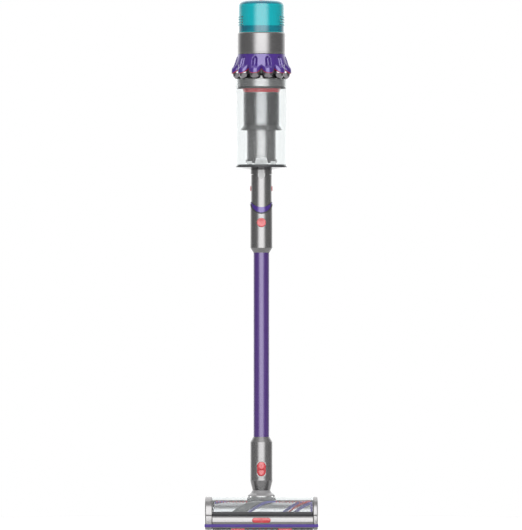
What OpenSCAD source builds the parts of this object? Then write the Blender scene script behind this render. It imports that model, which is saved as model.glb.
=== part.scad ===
// Cordless stick vacuum cleaner, all dimensions in millimetres.
// +Z runs up the wand, -Y is the front, the origin lies on the floor under the wand.

/* [Stack of lengths, from the floor up] */
// Height of the translucent flare between head and neck cuff
flare_h = 13.4; // [10:0.2:18]
// Length of the neck cuff that plugs into the wand
cuff_len = 54.4; // [46:0.2:64]
// Length of the lower wand collar with its cone
lower_collar_len = 67.8; // [56:0.2:80]
// Visible length of the wand tube
tube_len = 423.6; // [360:0.2:520]
// Length of the upper wand collar with its cone
upper_collar_len = 116.4; // [104:0.2:130]
// Visible length of the inlet neck between wand and bin
neck_len = 74; // [68:0.5:84]
// Length of the clear bin with its lid
bin_len = 209; // [190:1:230]
// Height of the cyclone pack above the bin
cyclone_len = 56; // [52:0.5:62]
// Height of the motor band
band_len = 50.3; // [48:0.1:58]
// Height of the filter cap
cap_len = 73; // [66:0.5:82]

/* [Main unit] */
// Outside diameter of the clear bin
bin_d = 118; // [114:0.5:124]
// Wall of the clear bin
bin_wall = 2; // [1.4:0.1:2.6]
// Outside diameter of the metal shroud
shroud_d = 84.2; // [78:0.2:88]
// Outside diameter of the inner duct
duct_d = 68.2; // [60:0.2:72]
// Outside diameter of the motor band
band_d = 111.4; // [108:0.2:116]
// Outside diameter of the filter cap
cap_d = 105.6; // [98:0.2:110]
// Corner radius of the filter cap
cap_round = 13; // [8:0.5:18]
// Number of cyclones in the ring
cyclone_n = 12; // [10:1:12]
// Radius of the circle the cyclones stand on
cyclone_ring = 56.4; // [55:0.2:58]
// Number of pleats in the filter
pleat_n = 44; // [32:1:56]

/* [Handle and battery] */
// Width of the handle
grip_w = 34; // [30:0.5:40]
// Front to back length of the finger gap
gap_len = 63; // [58:1:74]
// Width of the battery
battery_w = 60; // [56:1:68]
// Depth of the battery
battery_t = 37; // [34:0.5:44]
// Height of the battery
battery_h = 152; // [140:1:168]

/* [Wand and neck] */
// Outside diameter of the wand tube
tube_d = 37; // [33:0.2:40]
// Wall of the wand tube
tube_wall = 1.3; // [0.9:0.1:1.8]
// Outside diameter of both wand collars and of the neck cuff
collar_d = 51.8; // [50:0.2:54]
// Outside diameter of the tool collar below the bin
tool_d = 48.6; // [46:0.2:50]
// Length of the crevice nozzle stored inside the wand
nozzle_len = 232; // [180:1:260]

/* [Cleaner head] */
// Overall width of the cleaner head
head_w = 258; // [240:1:280]
// Outside radius of the brush window
window_r = 40; // [38:0.2:41]
// Radius of the brush bar over its strips
brush_r = 30.3; // [28:0.1:31]
// Height of the brush bar's lowest point over the floor
floor_gap = 6.1; // [4:0.1:8]
// Radius of the brush bar core
core_r = 26.5; // [24:0.1:27]
// Width of the left end cap
cap_left = 17; // [12:0.5:22]
// Width of the right end cap
cap_right = 11; // [10:0.5:16]
// Spacing of the red comb teeth
comb_pitch = 7.5; // [6:0.1:10]
// Radius of the rear wheels
wheel_r = 9; // [7:0.2:10]

/* [Fits] */
// Gap between parts that slide or turn past each other
slip = 0.4; // [0.2:0.05:0.6]
// Radial clearance of a pin or shaft in its bearing
run = 0.05; // [0.02:0.01:0.1]

/* [Hidden] */
head_h = brush_r + floor_gap + window_r;
z_flare = head_h;
z_cuff = z_flare + flare_h;
z_low = z_cuff + cuff_len;
z_tube0 = z_low + lower_collar_len;
z_tube1 = z_tube0 + tube_len;
z_sleeve = z_tube1 + upper_collar_len;
z_lid = z_sleeve + neck_len;
z_bin = z_lid + bin_len;
z_band = z_bin + cyclone_len;
z_cap = z_band + band_len;
z_top = z_cap + cap_len;
bin_r = bin_d / 2;
bin_in = bin_r - bin_wall;
shroud_r = shroud_d / 2;
duct_r = duct_d / 2;
band_r = band_d / 2;
cap_r = cap_d / 2;
hood_r = cyclone_ring * sin(180 / cyclone_n) - 0.1;
lobe_r = cyclone_ring + hood_r;
cone_r = hood_r - 2.5;
spine_y = lobe_r + 1;
gap_y = spine_y + 11;
dock_y = gap_y + gap_len;
batt_y = dock_y + 7;
batt_rear = batt_y + 0.6 + battery_t;
z_strut = z_bin - 35;
z_grip = z_band + 2;
z_dock = z_grip - 13;
gw = grip_w / 2;
tube_r = tube_d / 2;
col_r = collar_d / 2;
tool_r = tool_d / 2;
sleeve_in = tool_r + slip;
z_seat = z_sleeve - 24;
btn_z = z_sleeve - 47.5;
hx = head_w / 2;
xl = -hx + cap_left;
xr = hx - cap_right;
py = 6;
pz = head_h - 26.4;
by = py - window_r - 12;
bz = brush_r + floor_gap;
nose_y = by - window_r - 6;
wheel_y = py + 18;
comb_n = floor((min(-xl, xr) - 34) / comb_pitch);
nozzle_r = tube_r - tube_wall - 2.3;
strip_turn = 358;

teal = [0, 0.62, 0.68];
purple = [0.3, 0.2, 0.52];
violet = [0.36, 0.26, 0.62];
nickel = [0.52, 0.51, 0.53];
dark = [0.16, 0.16, 0.18];
black = [0.05, 0.05, 0.06];
red = [0.82, 0.08, 0.14];
clear = [0.85, 0.88, 0.9, 0.3];
steel = [0.75, 0.76, 0.78];
pale = [0.8, 0.8, 0.8];
white = [0.93, 0.93, 0.92];

// Solid of revolution about the wand axis from [radius, height] points.
module rev(pts) { rotate_extrude() polygon(pts); }
// Ring about the wand axis.
module ring(ro, ri, z0, z1) {
    rev([[ri, z0], [ro, z0], [ro, z1], [ri, z1]]);
}
// Cylinder along X, centred at y, z.
module xcyl(r, x0, x1, y, z) {
    translate([x0, y, z]) rotate([0, 90, 0]) cylinder(r = r, h = x1 - x0);
}
// Cylinder along Y from y0 to y1.
module ycyl(r, y0, y1, x, z) {
    translate([x, y1, z]) rotate([90, 0, 0]) cylinder(r = r, h = y1 - y0);
}
// Box between two corners.
module box(a, b) { translate(a) cube(b - a); }
// Rounded rectangle, centred.
module rrect(w, h, r) {
    square([w - 2 * r, h], center = true);
    square([w, h - 2 * r], center = true);
    for (x = [-1, 1], y = [-1, 1]) translate([x * (w / 2 - r), y * (h / 2 - r)]) circle(r);
}
// Side profile, drawn in Y and Z, given thickness along X.
module side(x0, x1) {
    translate([x0, 0, 0]) rotate([90, 0, 90]) linear_extrude(x1 - x0) children();
}
// Copies children on the cyclone circle.
module on_ring(r) {
    for (i = [0:cyclone_n - 1]) rotate(-90 + (i + 0.5) * 360 / cyclone_n)
        translate([r, 0, 0]) children();
}

// ---------------------------------------------------------------- motor and filter

module motor_housing() color(nickel) difference() {
    rev([[0, z_band], [band_r, z_band], [band_r, z_cap - 2.4], [band_r - 1.6, z_cap - 0.2],
         [band_r - 3, z_cap - 0.2], [band_r - 3, z_band + 3], [0, z_band + 3]]);
    translate([0, 0, z_band - 1]) cylinder(r = 20, h = 6);
}

module motor_body() color(dark) difference() {
    union() {
        ring(34, 31.5, z_band + 3, z_band + 43);
        ring(32, 5 + run, z_band + 39, z_band + 43);
        ring(32, 22, z_band + 22, z_band + 36);
        for (a = [0:90:270]) rotate(a)
            box([10, -5, z_band + 22], [23, 5, z_band + 36]);
        ring(7, 2.5 + run, z_band + 39, z_band + 43);
    }
    for (a = [22.5:45:360]) rotate(a) box([30, -4, z_band + 16], [36, 4, z_band + 20]);
}

module impeller() color(steel) {
    rev([[0, z_band + 5], [8, z_band + 5], [14, z_band + 11], [30, z_band + 17],
         [30, z_band + 18.6], [8, z_band + 18.6], [8, z_band + 22], [9, z_band + 22],
         [9, z_band + 36], [2.5, z_band + 36], [2.5, z_band + 44], [0, z_band + 44]]);
    for (a = [0:40:359]) rotate(a) side(-0.6, 0.6) polygon([[6, z_band + 7],
        [12, z_band + 6], [30, z_band + 11], [30, z_band + 17.5], [8, z_band + 12]]);
}

module filter_cap() color(teal) difference() {
    rotate_extrude() difference() {
        union() {
            translate([0, z_cap]) square([cap_r - cap_round, cap_len]);
            translate([0, z_cap]) square([cap_r, cap_len - cap_round]);
            translate([cap_r - cap_round, z_top - cap_round]) circle(cap_round);
        }
        translate([-1, z_cap - 1]) square([cap_r - 1.4, cap_len - cap_round + 1]);
        translate([-1, z_cap - 1]) square([cap_r - cap_round + 1, cap_len - 1.4]);
        translate([cap_r - cap_round, z_top - cap_round]) circle(cap_round - 2.4);
    }
    for (a = [57.5:13:123], k = [0:3]) rotate(a - 90)
        box([-cap_r - 5, -4.6, z_cap + 16 + 6 * k], [cap_r + 5, 4.6, z_cap + 18.4 + 6 * k]);
    translate([0, 0, z_top - 4]) cylinder(r = 5.05, h = 6);
}

module filter_pleats() color(white) translate([0, 0, z_cap + 4]) linear_extrude(cap_len - 20)
    difference() {
        polygon([for (i = [0:2 * pleat_n - 1]) let (r = cap_r - (i % 2 == 0 ? 3.6 : 8))
            [r * cos(i * 180 / pleat_n), r * sin(i * 180 / pleat_n)]]);
        polygon([for (i = [0:2 * pleat_n - 1]) let (r = cap_r - (i % 2 == 0 ? 11 : 15.4))
            [r * cos(i * 180 / pleat_n), r * sin(i * 180 / pleat_n)]]);
    }

module filter_boss() color(red)
    rev([[0, z_top - 4.6], [8, z_top - 4.6], [8, z_top - 2.5], [5, z_top - 2.5],
         [5, z_top + 3], [4.2, z_top + 3.8], [0, z_top + 3.8]]);

// ---------------------------------------------------------------- cyclones

// Outer envelope of the cyclone cover, moved in by t.
module bell(t, z0) {
    rev([[0, z0], [lobe_r - t, z0], [lobe_r - t, z_band - 43.6], [62.7 - t, z_band - 22.2],
         [band_r - 0.7 - t, z_band - 0.1 - t], [0, z_band - 0.1 - t]]);
}

module cyclone_cover() color(purple) difference() {
    intersection() {
        bell(0, z_band - 43.6);
        union() {
            translate([0, 0, z_band - 31.4]) cylinder(r = 80, h = 40);
            on_ring(cyclone_ring) translate([0, 0, z_band - 43.6])
                cylinder(r = hood_r, h = 20);
        }
    }
    intersection() {
        bell(1.4, z_band - 45);
        on_ring(cyclone_ring) translate([0, 0, z_band - 45])
            cylinder(r = hood_r - 1.5, h = 17);
    }
    rev([[0, z_band - 50], [45.4, z_band - 50], [45.4, z_band - 39], [61, z_band - 29],
         [60.4, z_band - 22.2], [band_r - 3.2, z_band - 2.4], [0, z_band - 2.4]]);
    translate([0, 0, z_band - 4]) cylinder(r = 30, h = 6);
}

module cyclone_cones() color(steel) difference() {
    union() {
        on_ring(cyclone_ring)
            rev([[0, z_bin + 0.6], [7, z_bin + 0.6], [10, z_bin + 3.6], [cone_r, z_bin + 12],
                 [cone_r, z_bin + 14.2], [0, z_bin + 14.2]]);
        ring(cyclone_ring - cone_r + 0.8, 36.4, z_bin + 12, z_bin + 14.2);
    }
    on_ring(cyclone_ring)
        rev([[0, z_bin], [5.7, z_bin], [5.7, z_bin + 0.9], [8.7, z_bin + 4],
             [cone_r - 1.3, z_bin + 12.4], [cone_r - 1.3, z_bin + 15], [0, z_bin + 15]]);
}

module cyclone_manifold() color(dark) difference() {
    union() {
        ring(59.6, 24, z_band - 28.6, z_band - 26.6);
        ring(32, 30.2, z_band - 28.6, z_band - 2.6);
        on_ring(52) translate([0, 0, z_band - 38]) cylinder(r = 5.5, h = 10);
    }
    on_ring(52) translate([0, 0, z_band - 40]) cylinder(r = 4.3, h = 16);
}

// ---------------------------------------------------------------- shroud and duct

module bin_top_ring() color(nickel) difference() {
    rev([[duct_r, z_bin - 18.4], [bin_in - slip, z_bin - 18.4], [bin_in - slip, z_bin - 1.4],
         [bin_in - 3.6, z_bin - 1.4], [bin_in - 3.6, z_bin - 15.8], [duct_r + 1.8, z_bin - 15.8],
         [duct_r + 1.8, z_band - 28.8], [duct_r, z_band - 28.8]]);
    for (a = [0:30:330]) rotate(a + 15) translate([duct_r + 4.2, 0, z_bin - 20])
        cylinder(r = 2, h = 6);
}

module bin_seal_lip() color(black)
    rev([[shroud_r, z_bin - 18.5], [bin_in - 4, z_bin - 18.5], [bin_in - 0.2, z_bin - 22.3],
         [bin_in - 1.6, z_bin - 22.3], [bin_in - 5.2, z_bin - 20.2], [shroud_r, z_bin - 20.2]]);

module shroud_seal_ring() color(red)
    rev([[shroud_r - 1.2, z_bin - 31], [shroud_r + 0.3, z_bin - 31], [shroud_r + 2.9, z_bin - 22.8],
         [shroud_r + 2.9, z_bin - 20.3], [shroud_r - 1.2, z_bin - 20.3]]);

module shroud_mesh() color(steel) ring(shroud_r, shroud_r - 1.1, z_bin - 102.4, z_bin - 31.1);

module shroud_skirt() color(dark)
    rev([[duct_r + 0.1, z_bin - 102.5], [shroud_r, z_bin - 102.5], [shroud_r, z_bin - 107.2],
         [shroud_r + 0.7, z_bin - 107.2], [shroud_r + 7.4, z_bin - 117.8],
         [shroud_r + 5.6, z_bin - 117.8], [shroud_r - 1.4, z_bin - 108],
         [duct_r + 0.1, z_bin - 108]]);

module inner_duct() color(nickel)
    rev([[duct_r - 1.6, z_bin - 18.5], [duct_r, z_bin - 18.5], [duct_r, z_lid + 24.2],
         [duct_r + 2.5, z_lid + 23.6], [duct_r + 2.5, z_lid + 16], [duct_r - 1.2, z_lid + 16],
         [duct_r - 1.2, z_lid + 20], [20, z_lid + 30], [0, z_lid + 33], [0, z_lid + 35],
         [20, z_lid + 32.2], [duct_r - 1.6, z_lid + 25]]);

// ---------------------------------------------------------------- handle

// Outline of the handle in Y and Z: spine, grip, dock frame and strut around the finger gap.
module handle_outline() {
    difference() {
        union() {
            polygon([[band_r - 6, z_grip], [band_r - 6, z_cap - 4], [96, z_cap - 2],
                     [dock_y, z_cap - 12], [batt_rear - 12, z_cap - 18], [batt_rear, z_cap - 30],
                     [batt_rear, z_dock], [batt_y, z_dock], [batt_y, z_strut],
                     [bin_r + 2, z_strut], [bin_r + 2, z_bin - 1.5], [spine_y, z_bin - 1.5],
                     [spine_y, z_grip]]);
            translate([batt_rear - 16, z_cap - 33.5]) circle(16);
        }
        translate([gap_y + gap_len / 2, (z_strut + 30 + z_grip) / 2])
            rrect(gap_len, z_grip - z_strut - 30, 12);
    }
}

// Hollow inside the handle shells.
module handle_hollow() {
    polygon([[band_r + 1, z_grip + 3.4], [band_r + 1, z_cap - 7], [96, z_cap - 5],
             [dock_y, z_cap - 15], [batt_rear - 8, z_cap - 24], [batt_rear - 3, z_cap - 32],
             [batt_rear - 3, z_dock + 3], [dock_y - 2, z_grip + 5]]);
    translate([bin_r + 5, z_strut + 3]) square([dock_y - bin_r - 10, 24]);
}

screw_yz = [[bin_r + 12, z_strut + 15], [dock_y - 12, z_strut + 15], [spine_y + 5.5, z_bin + 40],
            [spine_y + 3, z_cap - 18], [batt_rear - 17, z_cap - 32]];

module handle_left_shell() color(dark) difference() {
    side(-gw, -0.05) handle_outline();
    side(-gw + 2.6, 1) handle_hollow();
    translate([0, 0, z_band - 5]) cylinder(r = band_r + 0.1, h = 70);
    translate([0, power_y, z_cap - 20]) cylinder(r = 8 + slip, h = 30);
    lens_box(0.1);
    for (p = screw_yz) xcyl(2.8, -gw - 1, -gw + 2, p[0], p[1]);
}

module handle_right_shell() color(dark) difference() {
    side(0.05, gw) handle_outline();
    side(-1, gw - 2.6) handle_hollow();
    translate([0, 0, z_band - 5]) cylinder(r = band_r + 0.1, h = 70);
    translate([0, power_y, z_cap - 20]) cylinder(r = 8 + slip, h = 30);
    lens_box(0.1);
}

module housing_screws() color(steel) for (p = screw_yz) difference() {
    xcyl(2.7, -gw + 0.3, -gw + 1.9, p[0], p[1]);
    xcyl(1.2, -gw - 1, -gw + 1.1, p[0], p[1]);
}

power_y = spine_y + 40;
lens_y = band_r + 24;

// Space of the display lens, grown by g.
module lens_box(g) {
    translate([0, lens_y, z_cap - 5.4 - g]) linear_extrude(6) rrect(28 + 2 * g, 30 + 2 * g, 5 + g);
}

module display_lens() color(black) intersection() {
    lens_box(0);
    box([-20, 0, z_cap - 6], [20, 120, z_cap - 2.2]);
}

module control_board() color([0.05, 0.35, 0.2]) {
    box([-12, band_r + 4, z_grip + 12], [12, power_y + 12, z_grip + 13.6]);
    box([-6, lens_y - 8, z_grip + 13.5], [6, lens_y + 6, z_grip + 16]);
    box([-3, power_y - 3, z_grip + 13.5], [3, power_y + 3, z_grip + 17]);
}

module power_button() color(red) translate([0, power_y, 0])
    rev([[0, z_cap - 17], [8, z_cap - 17], [8, z_cap - 3.4], [7, z_cap - 2.2], [5, z_cap - 2.2],
         [0, z_cap - 3]]);

lever_z = z_strut - 46;
lever_travel = 8;

module bin_runner() color(dark) {
    box([-12, bin_r + 1.5, z_lid + 24], [12, bin_r + 7, z_strut - 0.1]);
    box([-6, bin_r + 6.9, z_lid + 24], [6, bin_r + 10, lever_z - lever_travel - 3]);
}

module bin_release_lever() color(red) difference() {
    box([-9, bin_r + 7.4, lever_z], [9, bin_r + 15, lever_z + 32]);
    ycyl(7, bin_r + 12.6, bin_r + 16, 0, lever_z + 16);
}

// ---------------------------------------------------------------- battery

module battery_case() color(dark) difference() {
    translate([0, batt_y + 0.6 + battery_t / 2, z_dock - 0.5 - battery_h])
        linear_extrude(battery_h) rrect(battery_w, battery_t, 9);
    translate([0, batt_y + 0.6 + battery_t / 2, z_dock - battery_h + 2])
        linear_extrude(battery_h - 12) rrect(battery_w - 5, battery_t - 5, 7);
    box([-9 - slip, batt_rear - 2 - 6.5, z_dock - 32], [9 + slip, batt_rear + 2, z_dock - 8]);
    ycyl(3.2, batt_rear - 8, batt_rear + 1, 0, z_dock - battery_h + 14);
}

module battery_cells() color(violet) for (x = [-1, 0, 1], k = [0, 1])
    translate([x * 18.2, batt_y + 13.5, z_dock - battery_h + 3 + k * 66.2]) cylinder(r = 9, h = 65);

module battery_latch() color(red) difference() {
    box([-9, batt_rear - 5, z_dock - 31.5], [9, batt_rear + 1.6, z_dock - 8.5]);
    for (k = [0:3]) box([-10, batt_rear + 0.8, z_dock - 28 + 5 * k],
        [10, batt_rear + 3, z_dock - 26 + 5 * k]);
}

// ---------------------------------------------------------------- bin and lid

hinge_y = bin_r + 3.5;
hinge_z = z_lid + 6;

module bin_cylinder() color(clear) difference() {
    union() {
        ring(bin_r, bin_in, z_lid + 8.4, z_bin);
        for (s = [-1, 1]) scale([s, 1, 1]) {
            box([12.6, bin_r - 2.6, z_strut - 62], [16, bin_r + 9, z_strut - 2]);
            box([10.6, bin_r - 2.6, z_lid + 9.2], [14, bin_r + 1, z_lid + 20]);
            box([10.6, bin_r + 0.3, hinge_z - 4], [14, hinge_y + 3.5, z_lid + 20]);
        }
    }
    translate([0, 0, z_lid - 5]) cylinder(r = bin_in, h = bin_len);
    xcyl(2 + run, -20, 20, hinge_y, hinge_z);
}

module bin_lid() color(dark) difference() {
    union() {
        rev([[19.6, z_lid + 0.2], [25, z_lid + 0.2], [bin_r - 0.2, z_lid + 5.4], [bin_r, z_lid + 5.8],
             [bin_r, z_lid + 8.2], [bin_in - slip, z_lid + 8.2], [bin_in - slip, z_lid + 11.8],
             [38, z_lid + 11.8], [38, z_lid + 8.6], [22, z_lid + 8.6], [22, z_lid + 12],
             [19.6, z_lid + 12]]);
        box([-10, bin_r - 4, z_lid + 5.4], [10, hinge_y, z_lid + 8]);
        xcyl(3, -10, 10, hinge_y, hinge_z);
        xcyl(2, -14, 14, hinge_y, hinge_z);
    }
    for (s = [-1, 1]) scale([s, 1, 1])
        box([10.2, bin_r - 8, z_lid - 1], [14.4, bin_r + 1, z_lid + 13]);
}

module lid_clips() color(pale) {
    for (s = [-1, 1]) scale([s, 1, 1])
        box([21, -45, z_lid + 11.9], [33, -41, z_lid + 19]);
    side(-1, 1) polygon([[-50, z_lid + 11.9], [-46, z_lid + 11.9], [-46, z_lid + 25], [-48, z_lid + 25]]);
    rotate([90, 0, 0]) translate([0, 0, 43]) linear_extrude(3)
        polygon([[-16, z_lid + 11.9], [16, z_lid + 11.9], [12, z_lid + 27], [-12, z_lid + 27]]);
}

module inlet_neck() color(nickel) difference() {
    rev([[17.5, z_sleeve + 26], [19.9, z_sleeve + 26], [19.9, z_lid - 10.6], [25, z_lid - 10.6],
         [25, z_lid], [17.5, z_lid]]);
    catch_shape(-30, -24.3, 0.05);
}

// Egg-shaped catch plate on the front of the neck, grown by g.
module catch_shape(y0, y1, g) {
    ycyl(8.5 + g, y0, y1, 0, z_lid - 12);
    box([-6.5 - g, y0, z_lid - 12], [6.5 + g, y1, z_lid - 0.3]);
}

module lid_catch() color(pale) catch_shape(-tool_r - 2.8, -tool_r - 0.2, 0);

// ---------------------------------------------------------------- built-in tool

module tool_collar() color(nickel) difference() {
    rev([[nozzle_r + 0.1, z_seat + 3], [tool_r - 1, z_seat + 3], [tool_r, z_seat + 4],
         [tool_r, z_lid - 11.4], [20.2, z_lid - 11.4], [20.2, z_sleeve + 24],
         [nozzle_r + 0.1, z_sleeve + 24]]);
    for (s = [-1, 1]) scale([s, 1, 1])
        box([20.6, -5.4 - slip, z_lid - 49 - slip], [30, 5.4 + slip, z_lid - 37.4 + slip]);
}

module side_button(s) color(red) scale([s, 1, 1])
    box([22.2, -5.4, z_lid - 49], [tool_r + 1.5, 5.4, z_lid - 37.4]);
module side_button_left() side_button(-1);
module side_button_right() side_button(1);

module crevice_nozzle() color(dark) difference() {
    ring(nozzle_r, nozzle_r - 1.4, z_seat + 4 - nozzle_len, z_seat + 28);
    translate([0, 0, z_seat + 4 - nozzle_len]) rotate([35, 0, 0])
        translate([-30, -60, -60]) cube([60, 120, 58]);
}

// ---------------------------------------------------------------- wand

saddle_z = z_sleeve - 1;

module wand_sleeve() color(purple) difference() {
    union() {
        ring(col_r, sleeve_in, z_sleeve - 5.5, z_sleeve);
        intersection() {
            ring(col_r, sleeve_in, z_seat - 20, z_sleeve - 5.5);
            ycyl(23.4, -40, 40, 0, saddle_z);
        }
    }
    ycyl(32, -40, 40, 0, z_sleeve + 20);
}

module wand_rim_seal() color(black) difference() {
    intersection() {
        ring(col_r + 0.3, sleeve_in, z_seat - 20, z_sleeve - 5.6);
        ycyl(26.5, -40, 40, 0, saddle_z);
    }
    ycyl(23.5, -41, 41, 0, saddle_z);
}

module wand_upper_collar() color(nickel) difference() {
    rev([[tube_r + 0.05, z_tube1], [tube_r + 0.5, z_tube1], [col_r, z_tube1 + 11],
         [col_r, z_sleeve - 5.6], [sleeve_in, z_sleeve - 5.6], [sleeve_in, z_seat],
         [tube_r + 0.05, z_seat]]);
    ycyl(26.5, -40, 40, 0, saddle_z);
    ycyl(10.4 + slip, -30, -tube_r - 1.2, 0, btn_z);
}

module wand_tube() color(purple) ring(tube_r, tube_r - tube_wall, z_low + 34, z_seat - 28);

module wand_button() color(red) translate([0, -tube_r - 3.6, btn_z]) rotate([90, 0, 0])
    rev([[0, 0], [10.4, 0], [10.4, 4.2], [9.6, 5.2], [7, 4.6], [0, 4.2]]);

module wand_lower_collar() color(nickel) difference() {
    rev([[21, z_low + 0.1], [col_r, z_low + 0.1], [col_r, z_tube0 - 11.6], [tube_r + 0.5, z_tube0],
         [tube_r + 0.05, z_tube0], [tube_r + 0.05, z_low + 33.6], [21, z_low + 33.6]]);
    button_pocket(slip);
}

// Oblong pocket across the seam between wand and cuff.
module button_pocket(g) {
    translate([0, -21.8, z_low - 5.6]) rotate([90, 0, 0]) linear_extrude(10)
        rrect(20 + 2 * g, 33 + 2 * g, 6);
}

module head_button() color(red) intersection() {
    translate([0, -23.4, z_low - 5.6]) rotate([90, 0, 0]) linear_extrude(4.4) rrect(20, 33, 6);
    translate([0, 0, z_low - 30]) cylinder(r = col_r + 1.4, h = 60);
}

// ---------------------------------------------------------------- neck

module neck_cuff() color(nickel) difference() {
    rev([[17.6, z_cuff + 0.2], [20.5, z_cuff + 0.2], [col_r, z_cuff + 22.4],
         [col_r, z_cuff + 28], [col_r - 0.5, z_cuff + 28.2], [col_r - 0.5, z_cuff + 28.8],
         [col_r, z_cuff + 29], [col_r, z_low - 0.1], [20.6, z_low - 0.1], [20.6, z_low + 30],
         [17.6, z_low + 30]]);
    button_pocket(slip);
}

module neck_yoke() color(pale) {
    rev([[17.6, z_cuff - 0.2], [20.4, z_cuff - 0.2], [24.4, z_flare + 6], [30.8, z_flare + 2],
         [30.8, z_flare + 0.2], [17.6, z_flare + 0.2]]);
    for (s = [-1, 1]) scale([s, 1, 1]) {
        box([26.5, py - 11, pz], [30.6, py + 11, z_flare + 1.8]);
        xcyl(11, 26.5, 30.6, py, pz);
        xcyl(5, 20, 27, py, pz);
    }
}

module neck_bellows() color(dark)
    rev([for (i = [0:6]) [(i % 2 == 0 ? 17.2 : 15.2), z_flare + 0.4 + i * (flare_h - 0.8) / 6],
         for (i = [6:-1:0]) [(i % 2 == 0 ? 16 : 14), z_flare + 0.4 + i * (flare_h - 0.8) / 6]]);

// ---------------------------------------------------------------- cleaner head

// Side profile of the head's end walls.
module end_profile() {
    difference() {
        translate([by, bz]) circle(window_r);
        translate([by - 60, -20]) square([120, 24]);
    }
    translate([nose_y + 2, 1.5]) square([window_r + 42, bz - 4]);
}

module head_chassis() color(dark) difference() {
    union() {
        side(xl + 0.1, xr) difference() {
            translate([by, bz]) circle(window_r + 1);
            translate([by, bz]) circle(window_r - 2);
            translate([by - 60, bz - 60]) square([86, 120]);
            translate([by - 60, -20]) square([120, 23.2]);
        }
        side(xr, hx) end_profile();
        box([-34.7, by + 26.4, bz + 22], [34.7, by + 36, head_h - 3.4]);
        xcyl(25, -24.5, 24.5, py, pz);
        box([-24, by + window_r - 3, 3.2], [24, py + 22, pz]);
        xcyl(2, -37, 37, wheel_y, wheel_r);
    }
    xcyl(window_r - 2, xl, xr - 1, by, bz);
    xcyl(34.4, xr + 3, hx + 1, by, bz);
    xcyl(8, xr - 1, hx, by, bz);
    xcyl(5 + run, -28, 28, py, pz);
    translate([0, py, pz]) cylinder(r = 13, h = 40);
    translate([0, py, pz]) rotate([100, 0, 0]) cylinder(r = 13, h = 34);
}

module brush_window() color(clear) side(xl + 0.2, xr - 0.2) difference() {
    translate([by, bz]) circle(window_r);
    translate([by, bz]) circle(window_r - 2.2);
    translate([by + 25.8, -10]) square([60, 120]);
    translate([by - 60, -20]) square([120, bz + 17.4]);
}

module end_cap_left() color(nickel) difference() {
    side(-hx, xl) end_profile();
    difference() {
        xcyl(window_r - 3.5, -hx + 3, xl + 1, by, bz);
        xcyl(17, -hx, xl + 2, by, bz);
        box([-hx, by - 60, -10], [xl + 2, by + 60, 5]);
    }
}

module debris_comb() color(red) translate([0, by, bz]) rotate([33, 0, 0])
    for (s = [-1, 1]) scale([s, 1, 1]) {
        box([32, -2, window_r - 4.4], [32 + comb_n * comb_pitch, 2, window_r - 2.8]);
        for (i = [0:comb_n - 1]) box([33 + i * comb_pitch, -1, brush_r + 0.6],
            [35.8 + i * comb_pitch, 1, window_r - 4.3]);
    }

module front_bumper() color(nickel) difference() {
    side(xl + 0.1, xr - 0.1) {
        translate([nose_y, 5.2]) square([6.4, 25]);
        translate([nose_y + 3.2, bz - 6.2]) circle(3.2);
    }
    box([-16, nose_y - 1, 20.6], [16, nose_y + 10, 26.4]);
}

module bumper_strip() color(violet) difference() {
    box([-hx - 1.1, nose_y - 1.2, 7.8], [hx + 1.1, by - 14, 14.5]);
    box([-hx - 0.05, nose_y - 0.05, 7], [hx + 0.05, by, 15]);
}

module sole_plate() color(black) {
    box([xl + 0.1, nose_y + 12, 0.8], [xr - 0.1, nose_y + 15.4, 4]);
    box([xl + 0.1, by + 30, 0], [xr - 0.1, 13, 3]);
    box([xl + 0.1, nose_y + 15, 1], [xl + 3.4, by + 30.5, 3]);
    box([xr - 3.4, nose_y + 15, 1], [xr - 0.1, by + 30.5, 3]);
}

module brush_motor() color(steel) {
    xcyl(15, xl + 0.1, -24, by, bz);
    xcyl(4, -24.1, -11, by, bz);
}

module brush_core() color(steel) difference() {
    xcyl(core_r, xl + 4, xr - 0.8, by, bz);
    xcyl(core_r - 2.3, xl, -16, by, bz);
    xcyl(core_r - 2.3, -13, xr - 5, by, bz);
    xcyl(4 + run, -17, -12, by, bz);
}

// One strip wound along the brush bar, from angle a0 over span da in n facets.
module strip(a0, da, ri, ro, n) {
    translate([xl + 5, by, bz]) rotate([0, 90, 0])
        linear_extrude(xr - xl - 10, twist = strip_turn, slices = 30, segments = 8)
            polygon([for (i = [0:n]) [ro * cos(a0 + da * i / n), ro * sin(a0 + da * i / n)],
                     for (i = [n:-1:0]) [ri * cos(a0 + da * i / n), ri * sin(a0 + da * i / n)]]);
}

module bristle_strips() color(violet)
    for (a = [30, 130, 255]) strip(a, 18, core_r + 0.8, brush_r - 0.1, 1);

module felt_strip() color(dark) strip(180, 56, core_r + 0.8, brush_r - 1.5, 3);

module brush_release_cap() color(nickel) difference() {
    xcyl(34, xr + 3.2, hx - 0.2, by, bz);
    box([hx - 3.4, by - 22, bz - 4], [hx + 1, by + 22, bz + 4]);
}

module wheel(s) color(black) scale([s, 1, 1]) difference() {
    xcyl(wheel_r, 27, 35, wheel_y, wheel_r);
    xcyl(2 + run, 20, 40, wheel_y, wheel_r);
}
module rear_wheel_left() wheel(-1);
module rear_wheel_right() wheel(1);

module gate_slider() color(red) {
    difference() {
        box([-21, nose_y - 3, 18], [21, nose_y - 0.3, 29.6]);
        box([-2.5, nose_y - 4, 21], [2.5, nose_y - 2, 27]);
    }
    box([-7, nose_y - 0.4, 21.4], [7, nose_y + 9, 25.6]);
    box([-70, nose_y + 8.9, 3.6], [70, nose_y + 10.9, 25.6]);
    for (s = [-1, 1]) scale([s, 1, 1]) box([38, nose_y + 0.6, 0.6], [70, nose_y + 10.9, 4.7]);
}

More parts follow.
